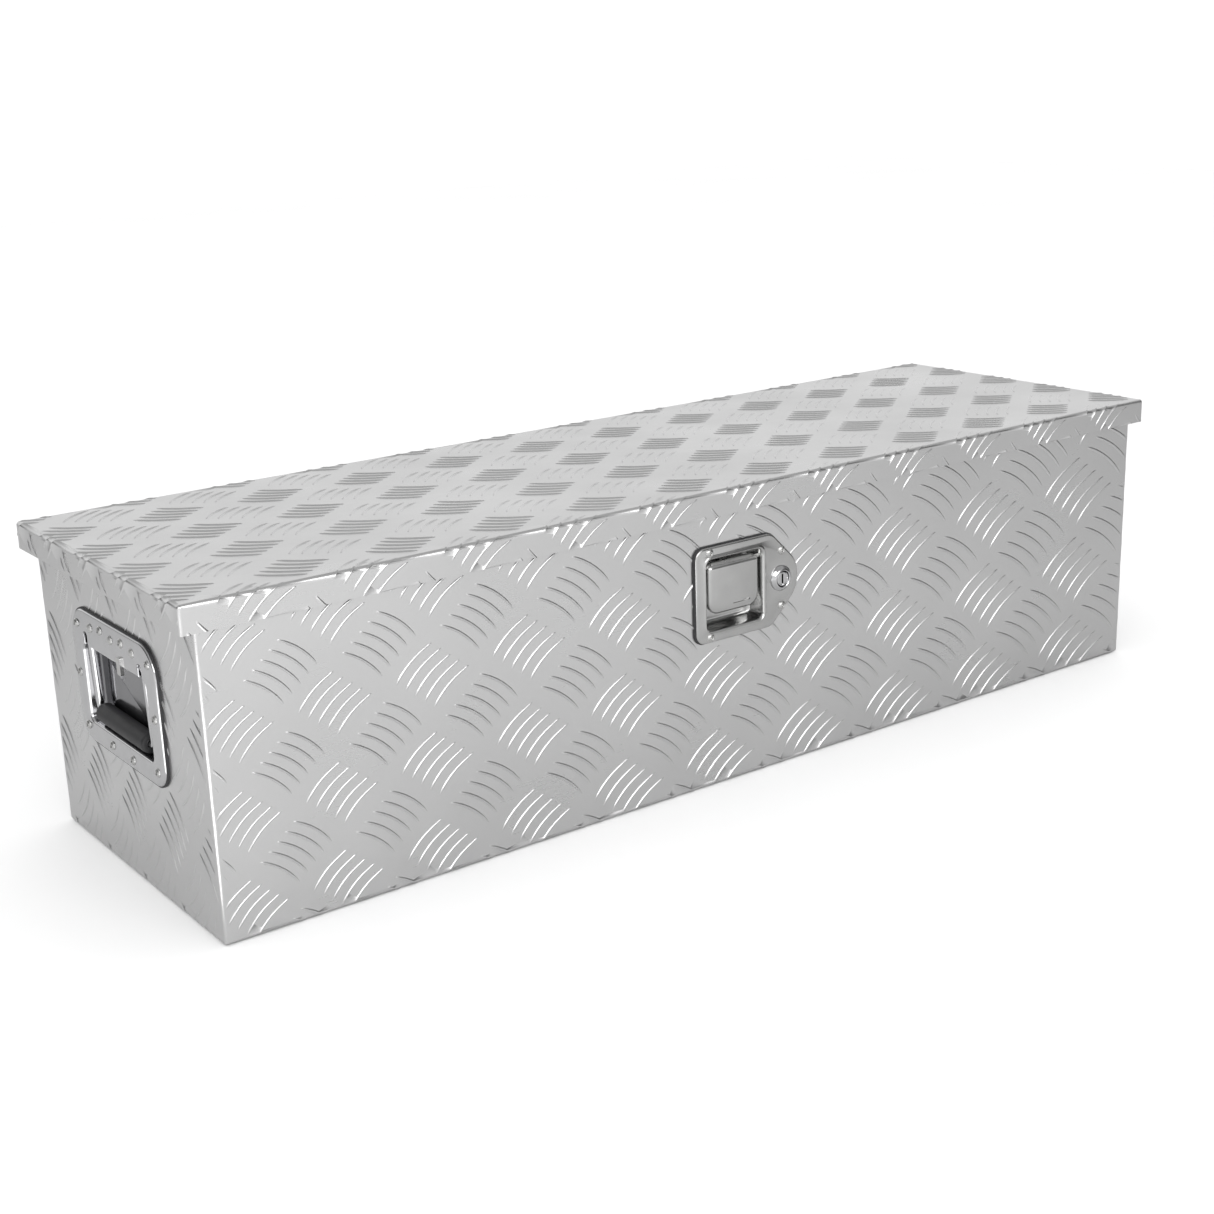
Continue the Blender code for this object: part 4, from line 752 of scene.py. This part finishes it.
def make_lid_seams():
    """Rounded vertical corners where the lips of the lid meet, each closed by a dome."""
    shape = bmesh.new()
    levels = 8
    top = LID_TOP - BEND
    steepest = math.radians(86)
    for x_side, y_side in ((-1, -1), (1, -1), (1, 1), (-1, 1)):
        spot = (x_side * (LID_HALF_X - BEND), y_side * (LID_HALF_Y - BEND))
        flat = quarter((x_side, 0.0, 0.0), (0.0, y_side, 0.0))
        heights = [LIP_LOW + (top - LIP_LOW) * step / levels for step in range(levels + 1)]
        rows = [(height, (*spot, height), flat) for height in heights]
        for step in range(1, BEND_STEPS + 1):
            tilt = steepest * step / BEND_STEPS
            upward = Vector((0.0, 0.0, math.sin(tilt)))
            directions = [direction * math.cos(tilt) + upward for direction in flat]
            rows.append((heights[-1] + step * BEND / BEND_STEPS, (*spot, heights[-1]), directions))
        add_seam(shape, rows)
    return mesh_object("lid_seams", shape, "tread_aluminium")


# ---------------- objects

def link_object(name, data):
    """Object for a mesh, a lamp or a camera, in the scene."""
    thing = bpy.data.objects.new(name, data)
    bpy.context.scene.collection.objects.link(thing)
    return thing


def add_object(name, mesh, finish):
    """Named object for a mesh, in one of the finishes."""
    thing = link_object(name, mesh)
    mesh.materials.append(MATERIALS[finish])
    return thing


def mesh_from(name, shape):
    """Mesh from a bmesh, which is used up."""
    mesh = bpy.data.meshes.new(name)
    shape.to_mesh(mesh)
    shape.free()
    return mesh


def mesh_object(name, shape, finish, outward=None):
    """Named object from a bmesh, smooth except at real edges; an open skin is turned to face outward."""
    bmesh.ops.recalc_face_normals(shape, faces=shape.faces)
    if outward:
        facing = sum((face.normal * face.calc_area() for face in shape.faces), Vector())
        if facing.dot(Vector(outward)) < 0:
            bmesh.ops.reverse_faces(shape, faces=shape.faces)
    mesh = mesh_from(name, shape)
    mesh.shade_smooth()
    mesh.set_sharp_from_angle(angle=SHARP_ANGLE)
    return add_object(name, mesh, finish)


def pressed_object(name, shape, finish, outward, gauge):
    """Named object from an open pressed skin, with its sheet thickness added towards the inside."""
    thing = mesh_object(name, shape, finish, outward)
    modifier = thing.modifiers.new("thickness", "SOLIDIFY")
    modifier.thickness = gauge
    modifier.offset = -1.0
    apply_modifiers(thing)
    return thing


def apply_modifiers(thing):
    """Keep the mesh that an object's modifiers make, sharp at its real edges."""
    graph = bpy.context.evaluated_depsgraph_get()
    result = bpy.data.meshes.new_from_object(thing.evaluated_get(graph))
    thing.modifiers.clear()
    thing.data = result
    thing.data.set_sharp_from_angle(angle=SHARP_ANGLE)


def cut(thing, add_solid, *dimensions):
    """Cut out of an object the solid that a function adds with the given dimensions."""
    shape = bmesh.new()
    add_solid(shape, *dimensions)
    bmesh.ops.recalc_face_normals(shape, faces=shape.faces)
    cutter = link_object("cutter", mesh_from("cutter", shape))
    modifier = thing.modifiers.new("cut", "BOOLEAN")
    modifier.solver = "EXACT"
    modifier.object = cutter
    apply_modifiers(thing)
    bpy.data.objects.remove(cutter)


def settle(thing, body, *nodes):
    """Let a piece ride on a CAD body and stand for the CAD nodes it shows."""
    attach(thing, body)
    if nodes:
        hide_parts(*nodes)


# ---------------- shapes

def add_ring(shape, place, outline, depth):
    """Vertices along a closed outline at one depth."""
    return [shape.verts.new(place(u, v, depth)) for u, v in outline]


def bridge(shape, rings, closed=False):
    """Bands of faces between successive rings of vertices, and from the last to the first if closed."""
    following = rings[1:] + (rings[:1] if closed else [])
    for ring, other in zip(rings, following):
        add_band(shape, [*ring, ring[0]], [*other, other[0]])


def add_tube(shape, rings):
    """Solid between successive rings, with a flat face at both ends."""
    bridge(shape, rings)
    shape.faces.new(rings[0])
    shape.faces.new(rings[-1])


def fill(shape, loops, rings):
    """Flat face between an outline and its holes, through vertices that are there already."""
    corners = [vertex for ring in rings for vertex in ring]
    for triangle in tessellate_polygon([[Vector((*point, 0.0)) for point in loop] for loop in loops]):
        shape.faces.new([corners[index] for index in triangle])


def add_skin(shape, place, outline, profile):
    """Bands that follow an outline through (inset, depth) pairs; returns the first and the last ring."""
    rings = [add_ring(shape, place, inset(outline, distance), depth) for distance, depth in profile]
    bridge(shape, rings)
    return rings[0], rings[-1]


def add_turned(shape, profile, place, steps=32, centre=(0.0, 0.0)):
    """Turned solid from (radius, depth) pairs; a radius of 0 closes it to a point."""
    rings = []
    for radius, depth in profile:
        outline = circle(radius, steps, centre) if radius else [centre]
        rings.append(add_ring(shape, place, outline, depth))
    for ring, other in zip(rings, rings[1:]):
        if len(ring) == 1 or len(other) == 1:
            tip, round_ring = (ring[0], other) if len(ring) == 1 else (other[0], ring)
            for index in range(steps):
                shape.faces.new((round_ring[index], round_ring[(index + 1) % steps], tip))
        else:
            bridge(shape, [ring, other])
    for ring in (rings[0], rings[-1]):
        if len(ring) > 1:
            shape.faces.new(ring)


def add_rod(shape, path, radius, normal, steps=20):
    """Round rod along a flat path; the normal is square to the plane of the path."""
    rings = []
    for index, point in enumerate(path):
        before = Vector(path[max(index - 1, 0)])
        after = Vector(path[min(index + 1, len(path) - 1)])
        sideways = normal.cross((after - before).normalized())
        rings.append([shape.verts.new(Vector(point) + a * normal + b * sideways)
                      for a, b in circle(radius, steps)])
    add_tube(shape, rings)


def add_box(shape, low, high):
    """Box between two opposite corners."""
    corners = rectangle(low, high)
    add_tube(shape, [[shape.verts.new((*corner, z)) for corner in corners] for z in (low[2], high[2])])


def add_slab(shape, place, outline, front, back):
    """Prism between two depths."""
    add_tube(shape, [add_ring(shape, place, outline, depth) for depth in (front, back)])


def two_ended(rounding, middle, half):
    """Profile of a bar whose two ends are alike, from (radius, distance from the end) pairs."""
    start = [(radius, middle - half + along) for radius, along in rounding]
    return start + [(radius, middle + half - along) for radius, along in reversed(rounding)]


def add_gasket(shape, place, outline, openings, front, back):
    """Flat rubber gasket with a rounded outer edge."""
    profile = [(0.0, back), (0.0, front + 0.0006), (0.0002, front + 0.0002), (0.0006, front)]
    first, last = add_skin(shape, place, outline, profile)
    fronts = [add_ring(shape, place, loop, front) for loop in openings]
    backs = [add_ring(shape, place, loop, back) for loop in openings]
    for ring, other in zip(fronts, backs):
        bridge(shape, [ring, other])
    fill(shape, [inset(outline, profile[-1][0]), *openings], [last, *fronts])
    fill(shape, [outline, *openings], [first, *backs])


def add_rivet(shape, place, spot, stack):
    """Blind rivet: domed head with an open middle, shank and set tail behind the sheets that it holds."""
    head, rise, shank = 0.00375, 0.0016, 0.0016
    profile = [(0.0, 0.0004), (0.0010, 0.0004), (0.0011, 0.0), (0.0012, -rise * 0.85),
               (0.0016, -rise), (0.0022, -rise * 0.93), (0.0029, -rise * 0.72), (0.0034, -rise * 0.42),
               (head, -rise * 0.12), (head, 0.0001), (shank, 0.0001), (shank, stack),
               (0.0026, stack + 0.0003), (0.0028, stack + 0.0010), (0.0020, stack + 0.0018),
               (0.0, stack + 0.0022)]
    add_turned(shape, profile, place, 20, spot)


# ---------------- latch

def latch_place(u, v, depth):
    """Point of the latch from its offsets across and up and its depth behind the plate's face."""
    return (LATCH_X + u, LATCH_FACE + depth, LATCH_Z + v)


def latch_outline(steps=10):
    """Straight left side, sloping shoulders and a rounded nose round the lock."""
    left, half = -LATCH_WIDTH / 2, LATCH_HEIGHT / 2
    shoulder = left + SHOULDER
    corners = [(left, -half), (shoulder, -half), (shoulder + half, 0.0), (shoulder, half), (left, half)]
    return rounded_polygon(corners, (0.009, 0.012, NOSE_RADIUS, 0.012, 0.009), steps)


def dish_outline(centre, margin, radius, steps):
    """Opening of the latch's dish round a centre, grown by a margin."""
    half_width, half_height = DISH_WIDTH / 2 + margin, DISH_HEIGHT / 2 + margin
    low = (centre[0] - half_width, centre[1] - half_height)
    high = (centre[0] + half_width, centre[1] + half_height)
    return rounded_rectangle(low, high, radius, steps)


def make_latch_plate():
    """Pressed stainless plate: rolled outer edge, flat face, raised bead round the dish and a deep dish."""
    edge = [(0.0, 0.0020), (0.0, 0.0012), (0.0003, 0.0006), (0.0009, 0.0002), (0.0018, 0.0)]
    bead = [(-0.0032, 0.0), (-0.0026, -0.0003), (-0.0018, -0.0008), (-0.0010, -0.0009),
            (-0.0003, -0.0004), (0.0003, 0.0005), (0.0006, 0.0015), (0.0010, 0.0040)]
    foot = [(0.0022, DISH_DEPTH - 0.0025), (0.0030, DISH_DEPTH - 0.0010), (0.0042, DISH_DEPTH - 0.0003),
            (0.0055, DISH_DEPTH)]
    outline, dish = latch_outline(), dish_outline(DISH_CENTRE, 0.0, 0.0065, 8)
    lock = circle(LOCK_HOLE - 0.0001, 40, LOCK_CENTRE)
    slot = rectangle((DISH_CENTRE[0] - HOOK_SLOT_HALF, HOOK_SLOT_LOW),
                     (DISH_CENTRE[0] + HOOK_SLOT_HALF, HOOK_SLOT_HIGH))
    shape = bmesh.new()
    _, face_edge = add_skin(shape, latch_place, outline, edge)
    dish_edge, floor = add_skin(shape, latch_place, dish, bead + foot)
    lock_edge = add_ring(shape, latch_place, lock, 0.0)
    loops = [inset(outline, edge[-1][0]), inset(dish, bead[0][0]), lock]
    fill(shape, loops, [face_edge, dish_edge, lock_edge])
    slot_edge = add_ring(shape, latch_place, slot, DISH_DEPTH)
    fill(shape, [inset(dish, foot[-1][0]), slot], [floor, slot_edge])
    plate = pressed_object("latch_plate_pressed", shape, "stainless", (0.0, -1.0, 0.0), LATCH_GAUGE)
    settle(plate, "box", "latch_plate")


def make_latch_gasket():
    """Rubber gasket that shows as a dark line round the latch plate, wider at its left and top."""
    show, shift = 0.0006, (-0.0013, 0.0004)
    dish = dish_outline(DISH_CENTRE, DISH_CLEARANCE, 0.0065, 6)
    lock = circle(LOCK_HOLE, 32, LOCK_CENTRE)
    outline = [(u + shift[0], v + shift[1]) for u, v in inset(latch_outline(), -show)]
    shape = bmesh.new()
    add_gasket(shape, latch_place, outline, [dish, lock], 0.0011, 0.0029)
    settle(mesh_object("latch_gasket_moulded", shape, "black_rubber"), "box", "latch_gasket")


def make_paddle():
    """Pull paddle: cushioned face with bevelled edges and a slot."""
    low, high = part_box("paddle")
    left, right = low.x - LATCH_X + PADDLE_CLEARANCE, high.x - LATCH_X
    bottom, face, middle = low.z - LATCH_Z, PADDLE_FACE, DISH_CENTRE[0]
    outline = rounded_rectangle((left, bottom), (right, PADDLE_TOP), (0.011, 0.011, 0.004, 0.004), 8)
    slot = rounded_rectangle((middle - 0.0015, bottom + 0.0062), (middle + 0.0175, bottom + 0.0080),
                             0.0008, 4)
    bevel = [(0.0, face + 0.0050), (0.0, face + 0.0026), (0.0004, face + 0.0016), (0.0018, face + 0.0004),
             (0.0030, face)]
    shape = bmesh.new()
    _, last = add_skin(shape, latch_place, outline, bevel)
    slot_edge = add_ring(shape, latch_place, slot, face)
    fill(shape, [inset(outline, bevel[-1][0]), slot], [last, slot_edge])
    paddle = pressed_object("paddle_pressed", shape, "stainless", (0.0, -1.0, 0.0), PADDLE_GAUGE)
    settle(paddle, "paddle", "paddle")


def make_paddle_arm():
    """Barrel that the paddle turns on, and the arm that pushes the hook."""
    middle, half_arm, half_thick, arm_length = DISH_CENTRE[0], 0.005, 0.002, 0.0155
    barrel = two_ended(((0.0021, 0.0), (0.0033, 0.0), (0.0036, 0.0003)), middle, 0.022)
    shape = bmesh.new()
    add_turned(shape, barrel, lambda up, back, u: latch_place(u, up + PIVOT_HEIGHT, back + PIVOT_DEPTH), 28)
    add_box(shape, latch_place(middle - half_arm, PIVOT_HEIGHT - half_thick, PIVOT_DEPTH),
            latch_place(middle + half_arm, PIVOT_HEIGHT + half_thick, PIVOT_DEPTH + arm_length))
    settle(mesh_object("paddle_arm", shape, "zinc"), "paddle")


def make_lock():
    """Lock: stepped bright ring, and the plug with its dished face and keyway."""
    proud = LOCK_PROUD
    ring = [(0.0068, 0.020), (0.0068, proud + 0.0012), (0.0070, proud + 0.0004), (0.0076, proud),
            (0.0084, proud + 0.0002), (0.0090, proud + 0.0008), (0.0097, proud + 0.0016),
            (0.0106, proud + 0.0022), (0.0110, proud + 0.0028), (0.0110, -0.0001), (0.0087, -0.0001),
            (0.0087, 0.022)]
    shape = bmesh.new()
    rings = [add_ring(shape, latch_place, circle(radius, 48, LOCK_CENTRE), depth) for radius, depth in ring]
    bridge(shape, rings, closed=True)
    settle(mesh_object("lock_ring", shape, "chrome"), "box", "lock_barrel")

    plug = [(0.0030, 0.0270), (0.0064, 0.0270), (0.0064, proud + 0.0014), (0.0061, proud + 0.0008),
            (0.0054, proud + 0.0006), (0.0050, proud + 0.0012), (0.0, proud + 0.0013)]
    shape = bmesh.new()
    add_turned(shape, plug, latch_place, 48, LOCK_CENTRE)
    core = mesh_object("lock_core", shape, "chrome")
    half_width, half_height = 0.0009, 0.0042
    cut(core, add_box, latch_place(LOCK_CENTRE[0] - half_width, -half_height, -0.006),
        latch_place(LOCK_CENTRE[0] + half_width, half_height, 0.004))
    settle(core, "lock", "lock_plug")


def make_latch_rivets():
    """Rivets of the latch plate."""
    shape = bmesh.new()
    for spot in LATCH_RIVETS:
        add_rivet(shape, latch_place, spot, 0.0042)
    nodes = [f"latch_rivet_{number + 1}" for number in range(len(LATCH_RIVETS))]
    settle(mesh_object("latch_rivets", shape, "zinc"), "box", *nodes)


# ---------------- handles

def handle_place(side):
    """Placing function of one handle: offsets across and up, and depth behind the plate's face."""
    def place(u, v, depth):
        return (side * (HANDLE_FACE - depth), side * u, HANDLE_Z + v)
    return place


def handle_outline():
    """Outer edge of the handle plate."""
    half_u, half_v = HANDLE_WIDTH / 2, HANDLE_HEIGHT / 2
    return rounded_rectangle((-half_u, -half_v), (half_u, half_v), HANDLE_RADII, 10)


def well_hole(height):
    """Hole for the handle's well in the sheets behind the plate, at a height of the plate's centre."""
    return rounded_rectangle((-HOLE_HALF_WIDTH, height + HOLE_LOW), (HOLE_HALF_WIDTH, height + HOLE_HIGH),
                             0.005, 4)


def make_handle_plate(side_name, side):
    """Chromed pressing: plate with a rolled outer edge, and a well in darker chrome as painted shade of its
    recess, with slots for the bail's arms.
    """
    place = handle_place(side)
    edge = [(0.0, 0.0026), (0.0, 0.0014), (0.0004, 0.0006), (0.0011, 0.0002), (0.0022, 0.0)]
    lip = [(-0.0014, 0.0), (-0.0007, 0.0002), (-0.0001, 0.0008), (0.0003, 0.0020)]
    wall = [lip[-1], (0.0022, WELL_DEPTH - 0.0034), (0.0032, WELL_DEPTH - 0.0014),
            (0.0046, WELL_DEPTH - 0.0004), (0.0062, WELL_DEPTH)]
    outline = handle_outline()
    well = rounded_rectangle((-WELL_HALF_WIDTH, WELL_LOW), (WELL_HALF_WIDTH, WELL_HIGH), 0.006, 8)
    shape = bmesh.new()
    _, face_edge = add_skin(shape, place, outline, edge)
    well_edge, _ = add_skin(shape, place, well, lip)
    fill(shape, [inset(outline, edge[-1][0]), inset(well, lip[0][0])], [face_edge, well_edge])
    plate = slotted_pressing("handle_plate_pressed_" + side_name, shape, side, "chrome")
    settle(plate, "box", "handle_plate_" + side_name)

    # the well in a darker copy of the chrome: painted shade of the recess
    shape = bmesh.new()
    _, floor = add_skin(shape, place, well, wall)
    shape.faces.new(floor)
    settle(slotted_pressing("handle_well_" + side_name, shape, side, "dark_chrome"), "box")


def slotted_pressing(name, shape, side, finish):
    """Part of a handle pressing with its sheet thickness and the slots for the bail's arms."""
    piece = pressed_object(name, shape, finish, (side, 0.0, 0.0), HANDLE_GAUGE)
    half_width, low, high = 0.0037, WELL_HIGH - 0.006, 0.037
    for arm in (-1, 1):
        middle = arm * BAIL_HALF
        slot = rounded_rectangle((middle - half_width, low), (middle + half_width, high),
                                 (0.0005, 0.0005, 0.003, 0.003), 6)
        cut(piece, add_slab, handle_place(side), slot, -0.002, 0.0092)
    return piece


def make_handle_gasket(side_name, side):
    """Rubber gasket behind the handle plate."""
    show = 0.0012
    shape = bmesh.new()
    add_gasket(shape, handle_place(side), inset(handle_outline(), -show), [well_hole(0.0)], 0.0014, 0.0035)
    settle(mesh_object("handle_gasket_moulded_" + side_name, shape, "black_rubber"), "box",
           "handle_gasket_" + side_name)


def make_handle_rivets(side_name, side):
    """Rivets and spring tab of one handle; three of the studs cover those of the CAD model's bracket."""
    shape = bmesh.new()
    for spot in HANDLE_RIVETS + HANDLE_STUDS:
        add_rivet(shape, handle_place(side), spot, 0.0048)
    add_slab(shape, handle_place(side), rounded_rectangle(*SPRING_TAB, 0.0015, 4), -0.0016, 0.0011)
    nodes = [f"handle_rivet_{side_name}_{number + 1}" for number in range(len(HANDLE_RIVETS))]
    settle(mesh_object("handle_rivets_" + side_name, shape, "zinc"), "box", *nodes)


def bail_place(side):
    """Placing function of one bail, which hangs from its axis, tilted a little out of its plate."""
    place = handle_place(side)

    def hang(u, v, out):
        drop = v * math.cos(BAIL_TILT) - out * math.sin(BAIL_TILT)
        depth = BAIL_DEPTH + v * -math.sin(BAIL_TILT) - out * math.cos(BAIL_TILT)
        return place(u, BAIL_AXIS + drop, depth)
    return hang


def make_bail(side_name, side):
    """Round bail with its inward stubs, and the rubber grip on its crossbar."""
    body = "bail_" + side_name
    hang = bail_place(side)
    corners = [(-BAIL_STUB, 0.0), (-BAIL_HALF, 0.0), (-BAIL_HALF, -BAIL_REACH), (BAIL_HALF, -BAIL_REACH),
               (BAIL_HALF, 0.0), (BAIL_STUB, 0.0)]
    flat = [corners[0]]
    for before, corner, after, bend in zip(corners, corners[1:], corners[2:], (0.004, 0.006, 0.006, 0.004)):
        flat += fillet(before, corner, after, bend, 8)
    flat.append(corners[-1])
    path = [Vector(hang(u, v, 0.0)) for u, v in flat]
    normal = (Vector(hang(0, 0, 1.0)) - Vector(hang(0, 0, 0))).normalized()
    shape = bmesh.new()
    add_rod(shape, path, BAIL_RADIUS, normal)
    settle(mesh_object("bail_rod_" + side_name, shape, "chrome"), body, "bail_" + side_name)

    rounding = ((0.0033, 0.0), (0.0060, 0.0), (0.0070, 0.0004), (0.0077, 0.0016), (0.0078, 0.003))
    shape = bmesh.new()
    rings = [[shape.verts.new(hang(along, -BAIL_REACH + a, b)) for a, b in circle(radius, 36)]
             for radius, along in two_ended(rounding, 0.0, GRIP_HALF)]
    bridge(shape, rings, closed=True)
    settle(mesh_object("grip_moulded_" + side_name, shape, "black_rubber"), body, "grip_" + side_name)


# ---------------- assembly

def finish_cad_nodes():
    """Put the procedural finishes on the CAD nodes that stay in view."""
    for part in frame["record"]["subparts"]:
        materials = frame["nodes"][part["node"]].data.materials
        materials.clear()
        materials.append(MATERIALS[part["material_slot"]])


def build_object():
    """All pieces of the tool box."""
    finish_cad_nodes()
    settle(make_body_sheet(), "box", "body_shell")
    for side_name, side in SIDES:
        settle(make_end_sheet(side_name, side), "box", "end_panel_" + side_name)
    settle(make_body_seams(), "box")
    settle(make_lid_sheet(), "lid", "lid_pan")
    settle(make_lid_seams(), "lid")
    make_latch_plate()
    make_latch_gasket()
    make_paddle()
    make_paddle_arm()
    make_lock()
    make_latch_rivets()
    for side_name, side in SIDES:
        make_handle_plate(side_name, side)
        make_handle_gasket(side_name, side)
        make_handle_rivets(side_name, side)
        make_bail(side_name, side)


# ---------------- studio

def make_floor():
    """Plain pale floor, which reflections show darker, falling along its diagonal, as painted shade on the
    metal.
    """
    mesh = bpy.data.meshes.new("floor")
    corners = rectangle((-FLOOR_HALF, -FLOOR_HALF), (FLOOR_HALF, FLOOR_HALF))
    mesh.from_pydata([(*corner, FLOOR_Z) for corner in corners], [], [(0, 1, 2, 3)])
    floor = link_object("floor", mesh)
    recipe = Recipe("floor_paper", grey(0.90), 0.0, 0.9)
    recipe.set_colour(recipe.noise(2.0, 2.0), grey(0.89), grey(0.91))
    # painted shade: reflected rays see the floor darker, more so towards the right and the back
    recipe.dim_in_reflections(0.75, 0.25)
    mesh.materials.append(recipe.material)


def add_light(name, location, target, size, power):
    """Soft rectangular light aimed at a point."""
    light = bpy.data.lights.new(name, "AREA")
    light.shape = "RECTANGLE"
    light.size, light.size_y = size
    light.energy = power
    lamp = link_object(name, light)
    lamp.location = location
    lamp.rotation_euler = (Vector(target) - Vector(location)).to_track_quat("-Z", "Y").to_euler()
    return lamp


def add_lights():
    """Large soft key light on the latch side, and a weak strip on the floor by the near corner."""
    add_light("key", KEY_PLACE, KEY_TARGET, size=(3.4, 1.2), power=31.0)
    strip = add_light("corner_strip", (STRIP_X, STRIP_Y, STRIP_Z), (STRIP_X, STRIP_Y, 1.0),
                      size=(0.46, 0.36), power=0.8)
    strip.visible_camera = False


def make_world():
    """Studio surround in reflections: bright low down, greyer overhead and dark to the left and right.

    The camera and matt surfaces see plain white instead.
    """
    world = bpy.data.worlds.new("studio")
    bpy.context.scene.world = world
    world.use_nodes = True
    tree = world.node_tree
    direction = add_node(tree, "TexCoord", {}).outputs["Generated"]
    height = add_node(tree, "SeparateXYZ", {"Vector": direction}).outputs["Z"]
    across = add_node(tree, "VectorMath", {0: direction, 1: SIDEWAYS}, operation="DOT_PRODUCT")
    sideways = add_node(tree, "Math", {0: across.outputs["Value"]}, operation="ABSOLUTE")
    ramps = [add_ramp(tree, value, [(position, grey(shade)) for position, shade in shades])
             for value, shades in ((height, OVERHEAD_SHADES), (sideways.outputs["Value"], SIDEWAYS_SHADES))]
    both = add_node(tree, "Mix", {"Factor": 1.0, "A": ramps[0], "B": ramps[1]},
                    data_type="RGBA", blend_type="MULTIPLY")
    glossy = add_node(tree, "LightPath", {}).outputs["Is Glossy Ray"]
    white = add_node(tree, "Mix", {"Factor": glossy, "A": (*grey(SURROUND_WHITE), 1.0),
                                   "B": both.outputs["Result"]}, data_type="RGBA")
    connect(tree, tree.nodes["Background"].inputs["Color"], white.outputs["Result"])


def make_camera():
    """Camera at the photograph's viewing angle."""
    camera = bpy.data.cameras.new("camera")
    camera.lens = LENS
    camera.sensor_width = SENSOR
    holder = link_object("camera", camera)
    holder.location = CAMERA_PLACE
    holder.rotation_euler = [math.radians(angle) for angle in CAMERA_DEGREES]
    bpy.context.scene.camera = holder


build_object()
make_floor()
make_world()
add_lights()
make_camera()
bpy.context.scene.view_settings.view_transform = "Standard"
